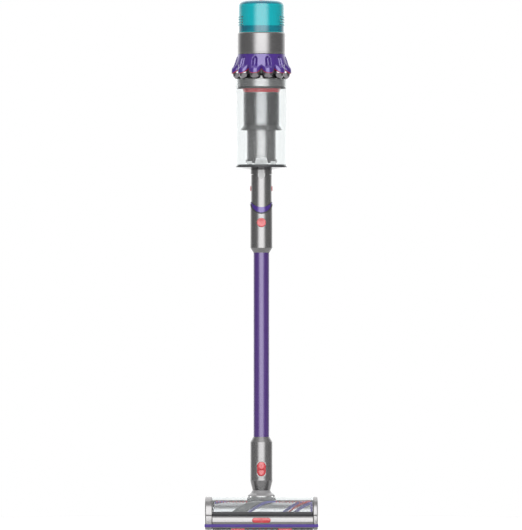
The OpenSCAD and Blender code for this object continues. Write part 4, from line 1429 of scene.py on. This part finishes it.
def nose():
    """Front bumper with its rolled top edge, the violet strip and the castellated sole."""
    bumper = box("front_bumper")
    left, right = bumper[0].x, bumper[1].x
    face, top, foot = bumper[0].y, bumper[1].z, bumper[0].z
    bm = bmesh.new()
    profile = filleted([
        (face + 6.4 * MM, foot, 0), (face + 2.2 * MM, foot, 1.0 * MM), (face, 20 * MM, 3 * MM),
        (face + 0.2 * MM, 24.2 * MM, 1.2 * MM), (face + 2.6 * MM, top - 3.6 * MM, 3 * MM),
        (face + 5.4 * MM, top, 1.2 * MM), (face + 6.4 * MM, top, 0.3 * MM),
    ], 6)
    pushed(bm, profile, left, right)
    shell = to_object(bm, "bumper_shell", finish("nickel"), 50)
    cutter = bmesh.new()
    block(cutter, (-16 * MM, face - 5 * MM, 20.6 * MM), (16 * MM, face + 15 * MM, 26.4 * MM), 0.5 * MM)
    cut(shell, cutter, 50)
    fitted(shell, "head", "nickel", "front_bumper")
    window = box("brush_window")
    front = window[0].y
    bm = bmesh.new()
    block(bm, (left + 0.4 * MM, front - 1.7 * MM, top + 0.2 * MM),
          (right - 0.4 * MM, front - 0.2 * MM, top + 9.6 * MM), 0.6 * MM)
    fitted(to_object(bm, "window_sill", finish("gloss")), "head", "dark")
    lo, hi = box("bumper_strip")
    bm = bmesh.new()
    block(bm, (HEAD_LEFT - 1.1 * MM, lo.y, lo.z), (HEAD_RIGHT + 1.1 * MM, face + 1.2 * MM, hi.z),
          0.6 * MM, 3)
    for x in (HEAD_LEFT, HEAD_RIGHT):
        side = -1 if x < 0 else 1
        edge = x + side * 1.1 * MM
        block(bm, (min(x - side * 0.5 * MM, edge), lo.y + 0.2 * MM, lo.z),
              (max(x - side * 0.5 * MM, edge), hi.y, hi.z), 0.45 * MM, 3)
    fitted(to_object(bm, "bumper_strip_soft", finish("strip")), "head", "violet", "bumper_strip")
    sole = box("sole_plate")
    bm = bmesh.new()
    block(bm, (left, sole[0].y, 0.8 * MM), (right, sole[0].y + 3.4 * MM, 4 * MM), 0.5 * MM)
    block(bm, (left, BRUSH_Y + 30 * MM, 0.3 * MM), (right, sole[1].y, 3 * MM), 0.8 * MM)
    for x0, x1 in ((left, left + 3.3 * MM), (right - 3.3 * MM, right)):
        block(bm, (x0, sole[0].y + 2 * MM, 1 * MM), (x1, BRUSH_Y + 31 * MM, 3 * MM), 0.5 * MM)
    plate = to_object(bm, "sole_frame", finish("black"))
    fitted(plate, "head", "dark", "sole_plate")
    bm = bmesh.new()
    block(bm, (-4.5 * MM, 0, 0), (4.5 * MM, 5.0 * MM, 4.4 * MM), 0.7 * MM)
    unit = to_object(bm, "castle_unit", None)
    count = 17
    step = (right - left - 10 * MM) / (count - 1)
    teeth = grown("sole_castellation", row_tree(), "black", Unit=unit, Count=count,
                  Start=(left + 5 * MM, face + 1.6 * MM, 1.4 * MM), Step=(step, 0.0, 0.0),
                  Turn=(0.0, 0.0, 0.0))
    drop(unit)
    fitted(teeth, "head", "dark")


def gate():
    """Red gate slider: grooved thumb pad, its plate behind the bumper and two gate tabs."""
    lo, hi = box("gate_slider")
    face = NOSE_Y
    bm = bmesh.new()
    pushed(bm, oblong(42 * MM, 11.4 * MM, 5.2 * MM, (0.0, 23.8 * MM), 8), lo.y, face - 0.3 * MM,
           "Y", 1.3 * MM, 4)
    pad = to_object(bm, "gate_thumb_pad", finish("red"), 40)
    cutter = bmesh.new()
    pushed(cutter, filleted([(-1.2 * MM, 19 * MM, 0.4 * MM), (1.2 * MM, 19 * MM, 0.4 * MM),
                             (2.4 * MM, 24 * MM, 0.8 * MM), (0.8 * MM, 30.5 * MM, 0.3 * MM),
                             (-0.8 * MM, 30.5 * MM, 0.3 * MM), (-2.4 * MM, 24 * MM, 0.8 * MM)], 3),
           lo.y - 1 * MM, lo.y + 0.9 * MM, "Y")
    cut(pad, cutter, 40)
    fitted(pad, "gates", "red", "gate_slider")
    bm = bmesh.new()
    block(bm, (-7 * MM, face - 0.4 * MM, 21.4 * MM), (7 * MM, face + 9 * MM, 25.6 * MM), 0.5 * MM)
    block(bm, (-70 * MM, face + 8.9 * MM, 3.6 * MM), (70 * MM, hi.y, 25.6 * MM), 0.4 * MM)
    for side in (-1, 1):
        x0, x1 = sorted((side * 38.4 * MM, side * 69.6 * MM))
        block(bm, (x0, face + 0.6 * MM, lo.z), (x1, hi.y, 4.7 * MM), 0.8 * MM)
    fitted(to_object(bm, "gate_plate", finish("red")), "gates", "red")


def comb():
    """Red anti-tangle comb behind the top of the brush."""
    bm = bmesh.new()
    block(bm, (-1.5 * MM, -1.0 * MM, 0), (1.5 * MM, 1.0 * MM, 4.8 * MM), 0.4 * MM, 2)
    for v in bm.verts:
        v.co.x *= 0.55 + 0.45 * v.co.z / (4.8 * MM)
    unit = to_object(bm, "tooth_unit", None)
    hi = high("debris_comb")
    lean = math.radians(33)
    pitch = 7.5 * MM
    count = int(round((hi.x - 32 * MM) / pitch))
    back = high("brush_window").z - BRUSH_Z - 4.3 * MM - 4.8 * MM
    foot_y = BRUSH_Y - back * math.sin(lean)
    foot_z = BRUSH_Z + back * math.cos(lean)
    tree = row_tree()
    for side, name in ((-1, "left"), (1, "right")):
        teeth = grown(f"comb_teeth_{name}", tree, "red", Unit=unit, Count=count,
                      Start=(side * 34.4 * MM, foot_y, foot_z), Step=(side * pitch, 0.0, 0.0),
                      Turn=(lean, 0.0, 0.0))
        if name == "left":
            fitted(teeth, "head", "red", "debris_comb")
        else:
            fitted(teeth, "head", "red")
    drop(unit)
    rail = back + 5.4 * MM
    bm = bmesh.new()
    for side in (-1, 1):
        x0, x1 = sorted((side * 32 * MM, side * hi.x))
        part = bmesh.new()
        block(part, (x0, -2 * MM, rail - 0.8 * MM), (x1, 2 * MM, rail + 0.7 * MM), 0.5 * MM)
        merged(bm, part, Matrix.Translation((0, BRUSH_Y, BRUSH_Z)) @ Matrix.Rotation(lean, 4, "X"))
    fitted(to_object(bm, "comb_rail", finish("clear")), "head", "clear")


# ---------------------------------------------------------------- brush bar


def wound(bm, first, spread, inner, outer, swell, steps=120, across=8):
    """Adds a strip wound once round the bar from an angle, swell raising its outside."""
    lo, hi = box("bristle_strips")
    length = hi.x - lo.x
    wind = math.radians(358)
    sections = []
    for k in range(steps + 1):
        share = k / steps
        section = []
        for i in range(across + 1):
            angle = first + spread * i / across - wind * share
            radius = outer + swell(share, i / across)
            section.append((radius, angle))
        for i in range(across, -1, -1):
            section.append((inner, first + spread * i / across - wind * share))
        sections.append([bm.verts.new((lo.x + length * share, BRUSH_Y + r * math.sin(a),
                                       BRUSH_Z - r * math.cos(a))) for r, a in section])
    for one, two in zip(sections, sections[1:]):
        bridged(bm, one, two)
    bm.faces.new(sections[0])
    bm.faces.new(sections[-1])


def tuft_unit(length, spread):
    """Six thin hairs standing together."""
    bm = bmesh.new()
    for k in range(6):
        angle = TURN * k / 6 + 0.4
        reach = spread * (0.4 if k % 2 else 0.85)
        cx, cy = reach * math.cos(angle), reach * math.sin(angle)
        tall = length * (0.88 + 0.04 * (k % 4))
        thick = 0.24 * MM
        foot = [bm.verts.new((cx + thick * math.cos(a), cy + thick * math.sin(a), 0))
                for a in (0, TURN / 3, 2 * TURN / 3)]
        mid = [bm.verts.new((v.co.x * 1.12 * 0.5 + v.co.x * 0.5, v.co.y, tall * 0.75)) for v in foot]
        tip = bm.verts.new((cx * 1.2, cy * 1.2, tall))
        for i in range(3):
            j = (i + 1) % 3
            bm.faces.new((foot[i], foot[j], mid[j], mid[i]))
            bm.faces.new((mid[i], mid[j], tip))
        bm.faces.new(foot)
    return to_object(bm, "tuft_unit", None, 50)


def brush_strips(sizes):
    """Felt and bristle strips wound round the bar, all riding on the brush."""
    lo, hi = box("bristle_strips")
    core = (high("brush_core").z - BRUSH_Z)
    base_in, base_out = core - 0.5 * MM, core + 1.1 * MM
    bm = bmesh.new()

    def matted(share, across):
        ripple = math.sin(share * 310 + across * 7) * math.sin(share * 97 - across * 19)
        edge = 1 - min(across, 1 - across) * 9
        return 0.22 * MM * ripple - 1.4 * MM * max(edge, 0) ** 2

    wound(bm, math.radians(sizes.felt_angle), math.radians(54), base_in, core + 2.7 * MM, matted,
          260, 22)
    fitted(to_object(bm, "felt_pad_strip", finish("felt"), 60), "brush", "felt", "felt_strip")

    def plain(share, across):
        return 0.0

    starts = [sizes.felt_angle + 58, sizes.felt_angle + 187, sizes.felt_angle + 229]
    bm = bmesh.new()
    for start in starts:
        wound(bm, math.radians(start), math.radians(16), base_in, base_out, plain)
    bases = to_object(bm, "bristle_bases", finish("bristle"), 60)
    fitted(bases, "brush", "bristle", "bristle_strips")
    tree = strip_tree()
    length = hi.x - lo.x
    unit = tuft_unit(high("bristle_strips").z - BRUSH_Z - core - 0.2 * MM, 0.8 * MM)
    for number, start in enumerate(starts):
        tufts = grown(f"bristle_tufts_{number + 1}", tree, "bristle", Unit=unit,
                      Count=sizes.tufts, Rows=5, First=math.radians(start + 0.6),
                      Spread=math.radians(15), Wind=math.radians(358), Start=lo.x + 0.8 * MM,
                      Length=length - 1.6 * MM, Radius=core + 0.2 * MM)
        fitted(tufts, "brush", "bristle")
    drop(unit)
    start = sizes.felt_angle + 208
    bm = bmesh.new()
    wound(bm, math.radians(start), math.radians(9), base_in, base_out, plain)
    fitted(to_object(bm, "red_strip_base", finish("bristle_red"), 60), "brush", "red")
    unit = tuft_unit(4.1 * MM, 0.7 * MM)
    tufts = grown("red_bristle_tufts", tree, "bristle_red", Unit=unit, Count=sizes.tufts, Rows=3,
                  First=math.radians(start + 0.5), Spread=math.radians(8), Wind=math.radians(358),
                  Start=lo.x + 0.8 * MM, Length=length - 1.6 * MM, Radius=core + 0.2 * MM)
    drop(unit)
    fitted(tufts, "brush", "red")
    bm = bmesh.new()
    along_x(bm, filleted([
        (core - 1 * MM, 0, 0), (core + 1.6 * MM, 0, 0.5 * MM), (core + 1.6 * MM, 4.5 * MM, 0.5 * MM),
        (core - 1 * MM, 4.5 * MM, 0),
    ], 4), hi.x - 0.6 * MM, 96)
    fitted(to_object(bm, "brush_end_ring", finish("strip"), 40), "brush", "violet")


# ---------------------------------------------------------------- neck and wheels


def neck():
    """Smoky flare of the yoke with its two arms, over the folded bellows."""
    hi = high("neck_yoke")
    top, foot = hi.z, high("brush_window").z + 0.2 * MM
    r = hi.x
    bm = bmesh.new()
    turned(bm, filleted([
        (17.6 * MM, foot, 0), (r, foot, 0.5 * MM), (r - 0.3 * MM, foot + 1.8 * MM, 1 * MM),
        (24.0 * MM, foot + 6.6 * MM, 8 * MM), (20.4 * MM, top, 0.8 * MM), (17.6 * MM, top, 0),
    ], 8), 128)
    pivot_y, pivot_z = 6 * MM, high("brush_window").z - 26.4 * MM
    for side in (-1, 1):
        arm = filleted([
            (pivot_y - 11 * MM, pivot_z, 0), (pivot_y - 11 * MM, foot + 1.6 * MM, 3 * MM),
            (pivot_y + 11 * MM, foot + 1.6 * MM, 3 * MM), (pivot_y + 11 * MM, pivot_z, 0),
            (pivot_y + 7.8 * MM, pivot_z - 7.8 * MM, 6 * MM), (pivot_y, pivot_z - 11 * MM, 6 * MM),
            (pivot_y - 7.8 * MM, pivot_z - 7.8 * MM, 6 * MM),
        ], 6)
        x0, x1 = sorted((side * 26.5 * MM, side * 30.6 * MM))
        pushed(bm, arm, x0, x1, "X", 1.2 * MM, 3)
        pin = filleted([(0, 0, 0), (5 * MM, 0, 0), (5 * MM, 6.6 * MM, 0), (0, 6.6 * MM, 0)], 2)
        along_x(bm, pin, min(side * 20 * MM, side * 26.6 * MM), 48, pivot_y, pivot_z)
    fitted(to_object(bm, "neck_flare", finish("smoke"), 40), "yoke", "pale", "neck_yoke")


def wheels():
    """Rear wheels with a ribbed tyre round a plain hub."""
    bm = bmesh.new()
    block(bm, (0, -0.6 * MM, -3.2 * MM), (0.9 * MM, 0.6 * MM, 3.2 * MM), 0.3 * MM, 1)
    unit = to_object(bm, "tread_unit", None)
    tree = ring_tree()
    for name in ("left", "right"):
        lo, hi = box(f"rear_wheel_{name}")
        centre = (lo + hi) / 2
        r = (hi.z - lo.z) / 2
        half = (hi.x - lo.x) / 2
        tread = grown(f"wheel_tread_{name}", tree, "tyre", Unit=unit, Count=26,
                      Radius=r - 1.0 * MM, First=0.0, Turn=0.0)
        stand = Matrix.Translation(centre) @ Matrix.Rotation(math.pi / 2, 4, "Y")
        tread.data.transform(stand)
        fitted(tread, f"wheel_{name}", "tyre")
        bm = bmesh.new()
        along_x(bm, filleted([
            (2.1 * MM, -half, 0), (5.6 * MM, -half, 0.3 * MM), (5.9 * MM, -half + 0.9 * MM, 0.3 * MM),
            (6.4 * MM, -half + 0.4 * MM, 0.5 * MM), (r - 0.7 * MM, -half + 0.3 * MM, 1.2 * MM),
            (r - 0.7 * MM, half - 0.3 * MM, 1.2 * MM), (6.4 * MM, half - 0.4 * MM, 0.5 * MM),
            (5.9 * MM, half - 0.9 * MM, 0.3 * MM), (5.6 * MM, half, 0.3 * MM), (2.1 * MM, half, 0),
        ], 4), centre.x, 64, centre.y, centre.z)
        hub = to_object(bm, f"wheel_body_{name}", finish("tyre"), 40)
        fitted(hub, f"wheel_{name}", "tyre", f"rear_wheel_{name}")
    drop(unit)


# ---------------------------------------------------------------- finishes of the frame's own parts

FRAME_FINISH = {
    "motor_body": "motor", "impeller": "alloy", "filter_pleats": "paper",
    "cyclone_manifold": "dark", "bin_top_ring": "nickel", "bin_seal_lip": "black",
    "shroud_seal_ring": "red", "shroud_skirt": "skirt", "inner_duct": "nickel",
    "display_lens": "glass", "control_board": "board", "power_button": "red",
    "bin_runner": "dark", "battery_cells": "cell", "bin_cylinder": "clear", "bin_lid": "gloss",
    "lid_clips": "pale", "inlet_neck": "nickel", "lid_catch": "pale", "tool_collar": "nickel",
    "crevice_nozzle": "dark", "wand_sleeve": "violet", "wand_rim_seal": "black",
    "wand_upper_collar": "nickel", "wand_tube": "tube", "wand_lower_collar": "nickel",
    "neck_cuff": "nickel", "neck_bellows": "black", "brush_window": "window",
    "brush_motor": "motor", "brush_core": "alloy",
}


def frame_finishes():
    """Gives every frame node that still shows its finish."""
    for node, name in FRAME_FINISH.items():
        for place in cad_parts[node].material_slots:
            place.material = finish(name)


# ---------------------------------------------------------------- stage


def studio_world(stage):
    """Soft studio light by direction: a tall front softbox, dark sides, a pale back wall."""
    world = bpy.data.worlds.new("studio")
    world.use_nodes = True
    bpy.context.scene.world = world
    net = Net(world.node_tree)
    net.tree.nodes.clear()
    way = net.node("ShaderNodeTexCoord", out="Generated")
    x = net.node("ShaderNodeSeparateXYZ", values={"Vector": way}, out="X")
    y = net.node("ShaderNodeSeparateXYZ", values={"Vector": way}, out="Y")
    z = net.node("ShaderNodeSeparateXYZ", values={"Vector": way}, out="Z")
    around = abs(x).call("ARCTAN2", 0 - y)
    height = z.call("ARCSINE")
    half = stage.softbox_half
    soft = math.radians(15)
    front = around.fall(half - soft, half + soft) * height.rise(-0.25, -0.08) \
        * height.fall(0.8, 1.1)
    back = around.rise(math.radians(105), math.radians(150))
    above = height.rise(0.6, 1.2)
    level = front * stage.softbox_level + back * stage.back_level + above * stage.ceiling_level \
        + stage.side_level
    seen = net.node("ShaderNodeLightPath", out="Is Camera Ray")
    shown = level * (1 - seen) + seen * 1.0
    sky = net.node("ShaderNodeBackground", values={"Color": (1, 1, 1, 1), "Strength": shown})
    out = net.node("ShaderNodeOutputWorld")
    net.tree.links.new(sky.socket, out.inputs["Surface"])


def studio(stage):
    """Floor, world light and the level camera far in front of the wand."""
    bm = bmesh.new()
    turned(bm, filleted([(0, -0.02, 0), (stage.floor_radius, -0.02, 0), (stage.floor_radius, 0, 0.004),
                         (0, 0, 0)], 4), 128)
    bmesh.ops.translate(bm, verts=bm.verts, vec=(0, 0, -stage.floor_drop))
    f = Finish("studio_floor")
    cloud = f.noise(3.0, 3.0)
    base = f.mix(cloud, (0.6, 0.6, 0.6, 1), (0.64, 0.64, 0.64, 1))
    floor = to_object(bm, "studio_floor", f.done(f.principled(Base_Color=base, Roughness=0.9)))
    studio_world(stage)
    camera = bpy.data.cameras.new("studio_camera")
    seat = bpy.data.objects.new("studio_camera", camera)
    bpy.context.scene.collection.objects.link(seat)
    seat.location = (stage.camera_side, -stage.camera_distance, stage.camera_height)
    seat.rotation_euler = (math.pi / 2, 0, 0)
    camera.lens = camera.sensor_width * stage.camera_distance / stage.view_height
    camera.clip_end = 200.0
    bpy.context.scene.camera = seat
    bpy.context.scene.view_settings.view_transform = "Standard"


# ---------------------------------------------------------------- settings


def colour(label, note, value):
    """A colour setting."""
    return bpy.props.FloatVectorProperty(name=label, description=note, subtype="COLOR", size=3,
                                         min=0.0, max=1.0, default=value)


def length(label, note, value):
    """A length setting."""
    return bpy.props.FloatProperty(name=label, description=note, default=value, min=0.0,
                                   subtype="DISTANCE", unit="LENGTH")


class VacuumColours(bpy.types.PropertyGroup):
    """Colours of the finishes."""

    nickel: colour("Nickel", "Painted bands, collars and caps", (0.15, 0.147, 0.148))
    tube: colour("Tube", "Wand tube", (0.034, 0.011, 0.1))
    tube_streak: colour("Tube streak", "Drawing lines of the wand tube", (0.042, 0.016, 0.1))
    teal: colour("Teal", "Filter cap", (0.0, 0.2, 0.225))
    # Colour of the dark bands painted on the filter cap: partly what shows through the wall, partly painted
    # shade and reflection.
    teal_seen_through_and_shade: colour("Deep teal", "What shows dark through the cap", (0.0, 0.04, 0.075))
    violet: colour("Violet", "Cyclone cover and wand sleeve", (0.034, 0.012, 0.125))
    strip: colour("Strip", "Bumper strip", (0.042, 0.024, 0.135))
    red: colour("Red", "Everything pressed or turned", (0.26, 0.003, 0.009))
    dark: colour("Charcoal", "Handle, battery and head housing", (0.02, 0.02, 0.022))
    pale: colour("Pale", "Lid clips and catch", (0.2, 0.2, 0.2))
    bristle: colour("Bristle", "Bristle strips", (0.03, 0.03, 0.18))
    bristle_tip: colour("Bristle tips", "Tips of the bristles", (0.1, 0.07, 0.32))


class VacuumSizes(bpy.types.PropertyGroup):
    """Sizes that only the look depends on."""

    cap_corner: length("Cap corner", "Corner radius of the filter cap", 13 * MM)
    grip_round: length("Grip rounding", "Rounding of the handle's long edges", 3.5 * MM)
    shroud_holes: bpy.props.IntProperty(name="Shroud holes", description="Holes round the shroud",
                                        default=96, min=24, max=140)
    battery_ribs: bpy.props.IntProperty(name="Battery ribs", description="Ribs on each side",
                                        default=12, min=2, max=16)
    tufts: bpy.props.IntProperty(name="Tufts", description="Tufts in each row of a strip",
                                 default=118, min=20, max=160)
    felt_angle: bpy.props.FloatProperty(name="Felt angle", description="Where the felt strip starts",
                                        default=322.0)


class VacuumStage(bpy.types.PropertyGroup):
    """Floor, light and camera."""

    floor_radius: length("Floor radius", "Radius of the floor disc", 2.5)
    floor_drop: length("Floor drop", "How far the floor lies below the sole", 0.075)
    camera_distance: length("Camera distance", "From the wand axis to the camera", 14.0)
    camera_height: length("Camera height", "Above the sole", 0.607)
    camera_side: bpy.props.FloatProperty(name="Camera side", description="Sideways place",
                                         default=-0.0009, unit="LENGTH")
    view_height: length("View height", "Height seen at the wand axis", 1.219)
    softbox_half: bpy.props.FloatProperty(name="Softbox half angle", subtype="ANGLE",
                                          description="Half width of the front light",
                                          default=math.radians(31))
    softbox_level: bpy.props.FloatProperty(name="Softbox", description="Its radiance", default=5.8)
    back_level: bpy.props.FloatProperty(name="Back", description="Back wall's radiance", default=1.8)
    ceiling_level: bpy.props.FloatProperty(name="Ceiling", description="Its radiance", default=1.0)
    side_level: bpy.props.FloatProperty(name="Sides", description="Their radiance", default=0.36)


# ---------------------------------------------------------------- operators


class VACUUM_OT_stage(bpy.types.Operator):
    """Makes the floor, the studio light and the camera"""

    bl_idname = "vacuum.stage"
    bl_label = "Studio"

    def execute(self, context):
        studio(context.scene.vacuum_stage)
        return {"FINISHED"}


class VACUUM_OT_filter(bpy.types.Operator):
    """Makes the filter cap and its boss"""

    bl_idname = "vacuum.filter"
    bl_label = "Filter cap"

    def execute(self, context):
        filter_cap(context.scene.vacuum_sizes)
        return {"FINISHED"}


class VACUUM_OT_motor_band(bpy.types.Operator):
    """Makes the painted motor band"""

    bl_idname = "vacuum.motor_band"
    bl_label = "Motor band"

    def execute(self, context):
        motor_band()
        return {"FINISHED"}


class VACUUM_OT_cyclones(bpy.types.Operator):
    """Makes the cyclone cover, its gasket and the chromed cones"""

    bl_idname = "vacuum.cyclones"
    bl_label = "Cyclones"

    def execute(self, context):
        cyclone_cover()
        cyclone_cones()
        return {"FINISHED"}


class VACUUM_OT_shroud(bpy.types.Operator):
    """Makes the perforated shroud"""

    bl_idname = "vacuum.shroud"
    bl_label = "Shroud"

    def execute(self, context):
        shroud(context.scene.vacuum_sizes)
        return {"FINISHED"}


class VACUUM_OT_handle(bpy.types.Operator):
    """Makes the handle shells and their screws"""

    bl_idname = "vacuum.handle"
    bl_label = "Handle"

    def execute(self, context):
        handle(context.scene.vacuum_sizes)
        return {"FINISHED"}


class VACUUM_OT_battery(bpy.types.Operator):
    """Makes the battery pack"""

    bl_idname = "vacuum.battery"
    bl_label = "Battery"

    def execute(self, context):
        battery(context.scene.vacuum_sizes)
        return {"FINISHED"}


class VACUUM_OT_keys(bpy.types.Operator):
    """Makes the buttons, the bin lever and the latch"""

    bl_idname = "vacuum.keys"
    bl_label = "Buttons and latches"

    def execute(self, context):
        wand_keys()
        small_keys()
        return {"FINISHED"}


class VACUUM_OT_head(bpy.types.Operator):
    """Makes the cleaner head's caps, housing, bumper, sole, gates and comb"""

    bl_idname = "vacuum.head"
    bl_label = "Cleaner head"

    def execute(self, context):
        end_caps()
        chassis()
        nose()
        gate()
        comb()
        return {"FINISHED"}


class VACUUM_OT_brush(bpy.types.Operator):
    """Makes the brush bar's felt and bristle strips"""

    bl_idname = "vacuum.brush"
    bl_label = "Brush bar"

    def execute(self, context):
        brush_strips(context.scene.vacuum_sizes)
        return {"FINISHED"}


class VACUUM_OT_neck(bpy.types.Operator):
    """Makes the neck's flare and the rear wheels"""

    bl_idname = "vacuum.neck"
    bl_label = "Neck and wheels"

    def execute(self, context):
        neck()
        wheels()
        return {"FINISHED"}


class VACUUM_OT_finishes(bpy.types.Operator):
    """Gives the frame's own parts their finishes"""

    bl_idname = "vacuum.finishes"
    bl_label = "Finishes"

    def execute(self, context):
        frame_finishes()
        return {"FINISHED"}


STEPS = ("stage", "filter", "motor_band", "cyclones", "shroud", "handle", "battery", "keys",
         "head", "brush", "neck", "finishes")


class VACUUM_PT_panel(bpy.types.Panel):
    """Lists the settings and the pieces"""

    bl_idname = "VACUUM_PT_panel"
    bl_label = "Cordless stick vacuum"
    bl_space_type = "VIEW_3D"
    bl_region_type = "UI"
    bl_category = "Vacuum"

    def draw(self, context):
        layout = self.layout
        for group in (context.scene.vacuum_sizes, context.scene.vacuum_colours,
                      context.scene.vacuum_stage):
            box = layout.box()
            for key in group.__annotations__:
                box.prop(group, key)
        for step in STEPS:
            layout.operator(f"vacuum.{step}")


CLASSES = (VacuumColours, VacuumSizes, VacuumStage, VACUUM_OT_stage, VACUUM_OT_filter,
           VACUUM_OT_motor_band, VACUUM_OT_cyclones, VACUUM_OT_shroud, VACUUM_OT_handle,
           VACUUM_OT_battery, VACUUM_OT_keys, VACUUM_OT_head, VACUUM_OT_brush, VACUUM_OT_neck,
           VACUUM_OT_finishes, VACUUM_PT_panel)
SETTINGS = {"vacuum_colours": VacuumColours, "vacuum_sizes": VacuumSizes,
            "vacuum_stage": VacuumStage}


def register():
    """Registers the classes and the scene's settings."""
    for made in CLASSES:
        bpy.utils.register_class(made)
    for name, group in SETTINGS.items():
        setattr(bpy.types.Scene, name, bpy.props.PointerProperty(type=group))


def unregister():
    """Takes the settings and classes away again."""
    for name in SETTINGS:
        delattr(bpy.types.Scene, name)
    for made in reversed(CLASSES):
        bpy.utils.unregister_class(made)


def main():
    register()
    for step in STEPS:
        getattr(bpy.ops.vacuum, step)()


if __name__ == "__main__":
    main()
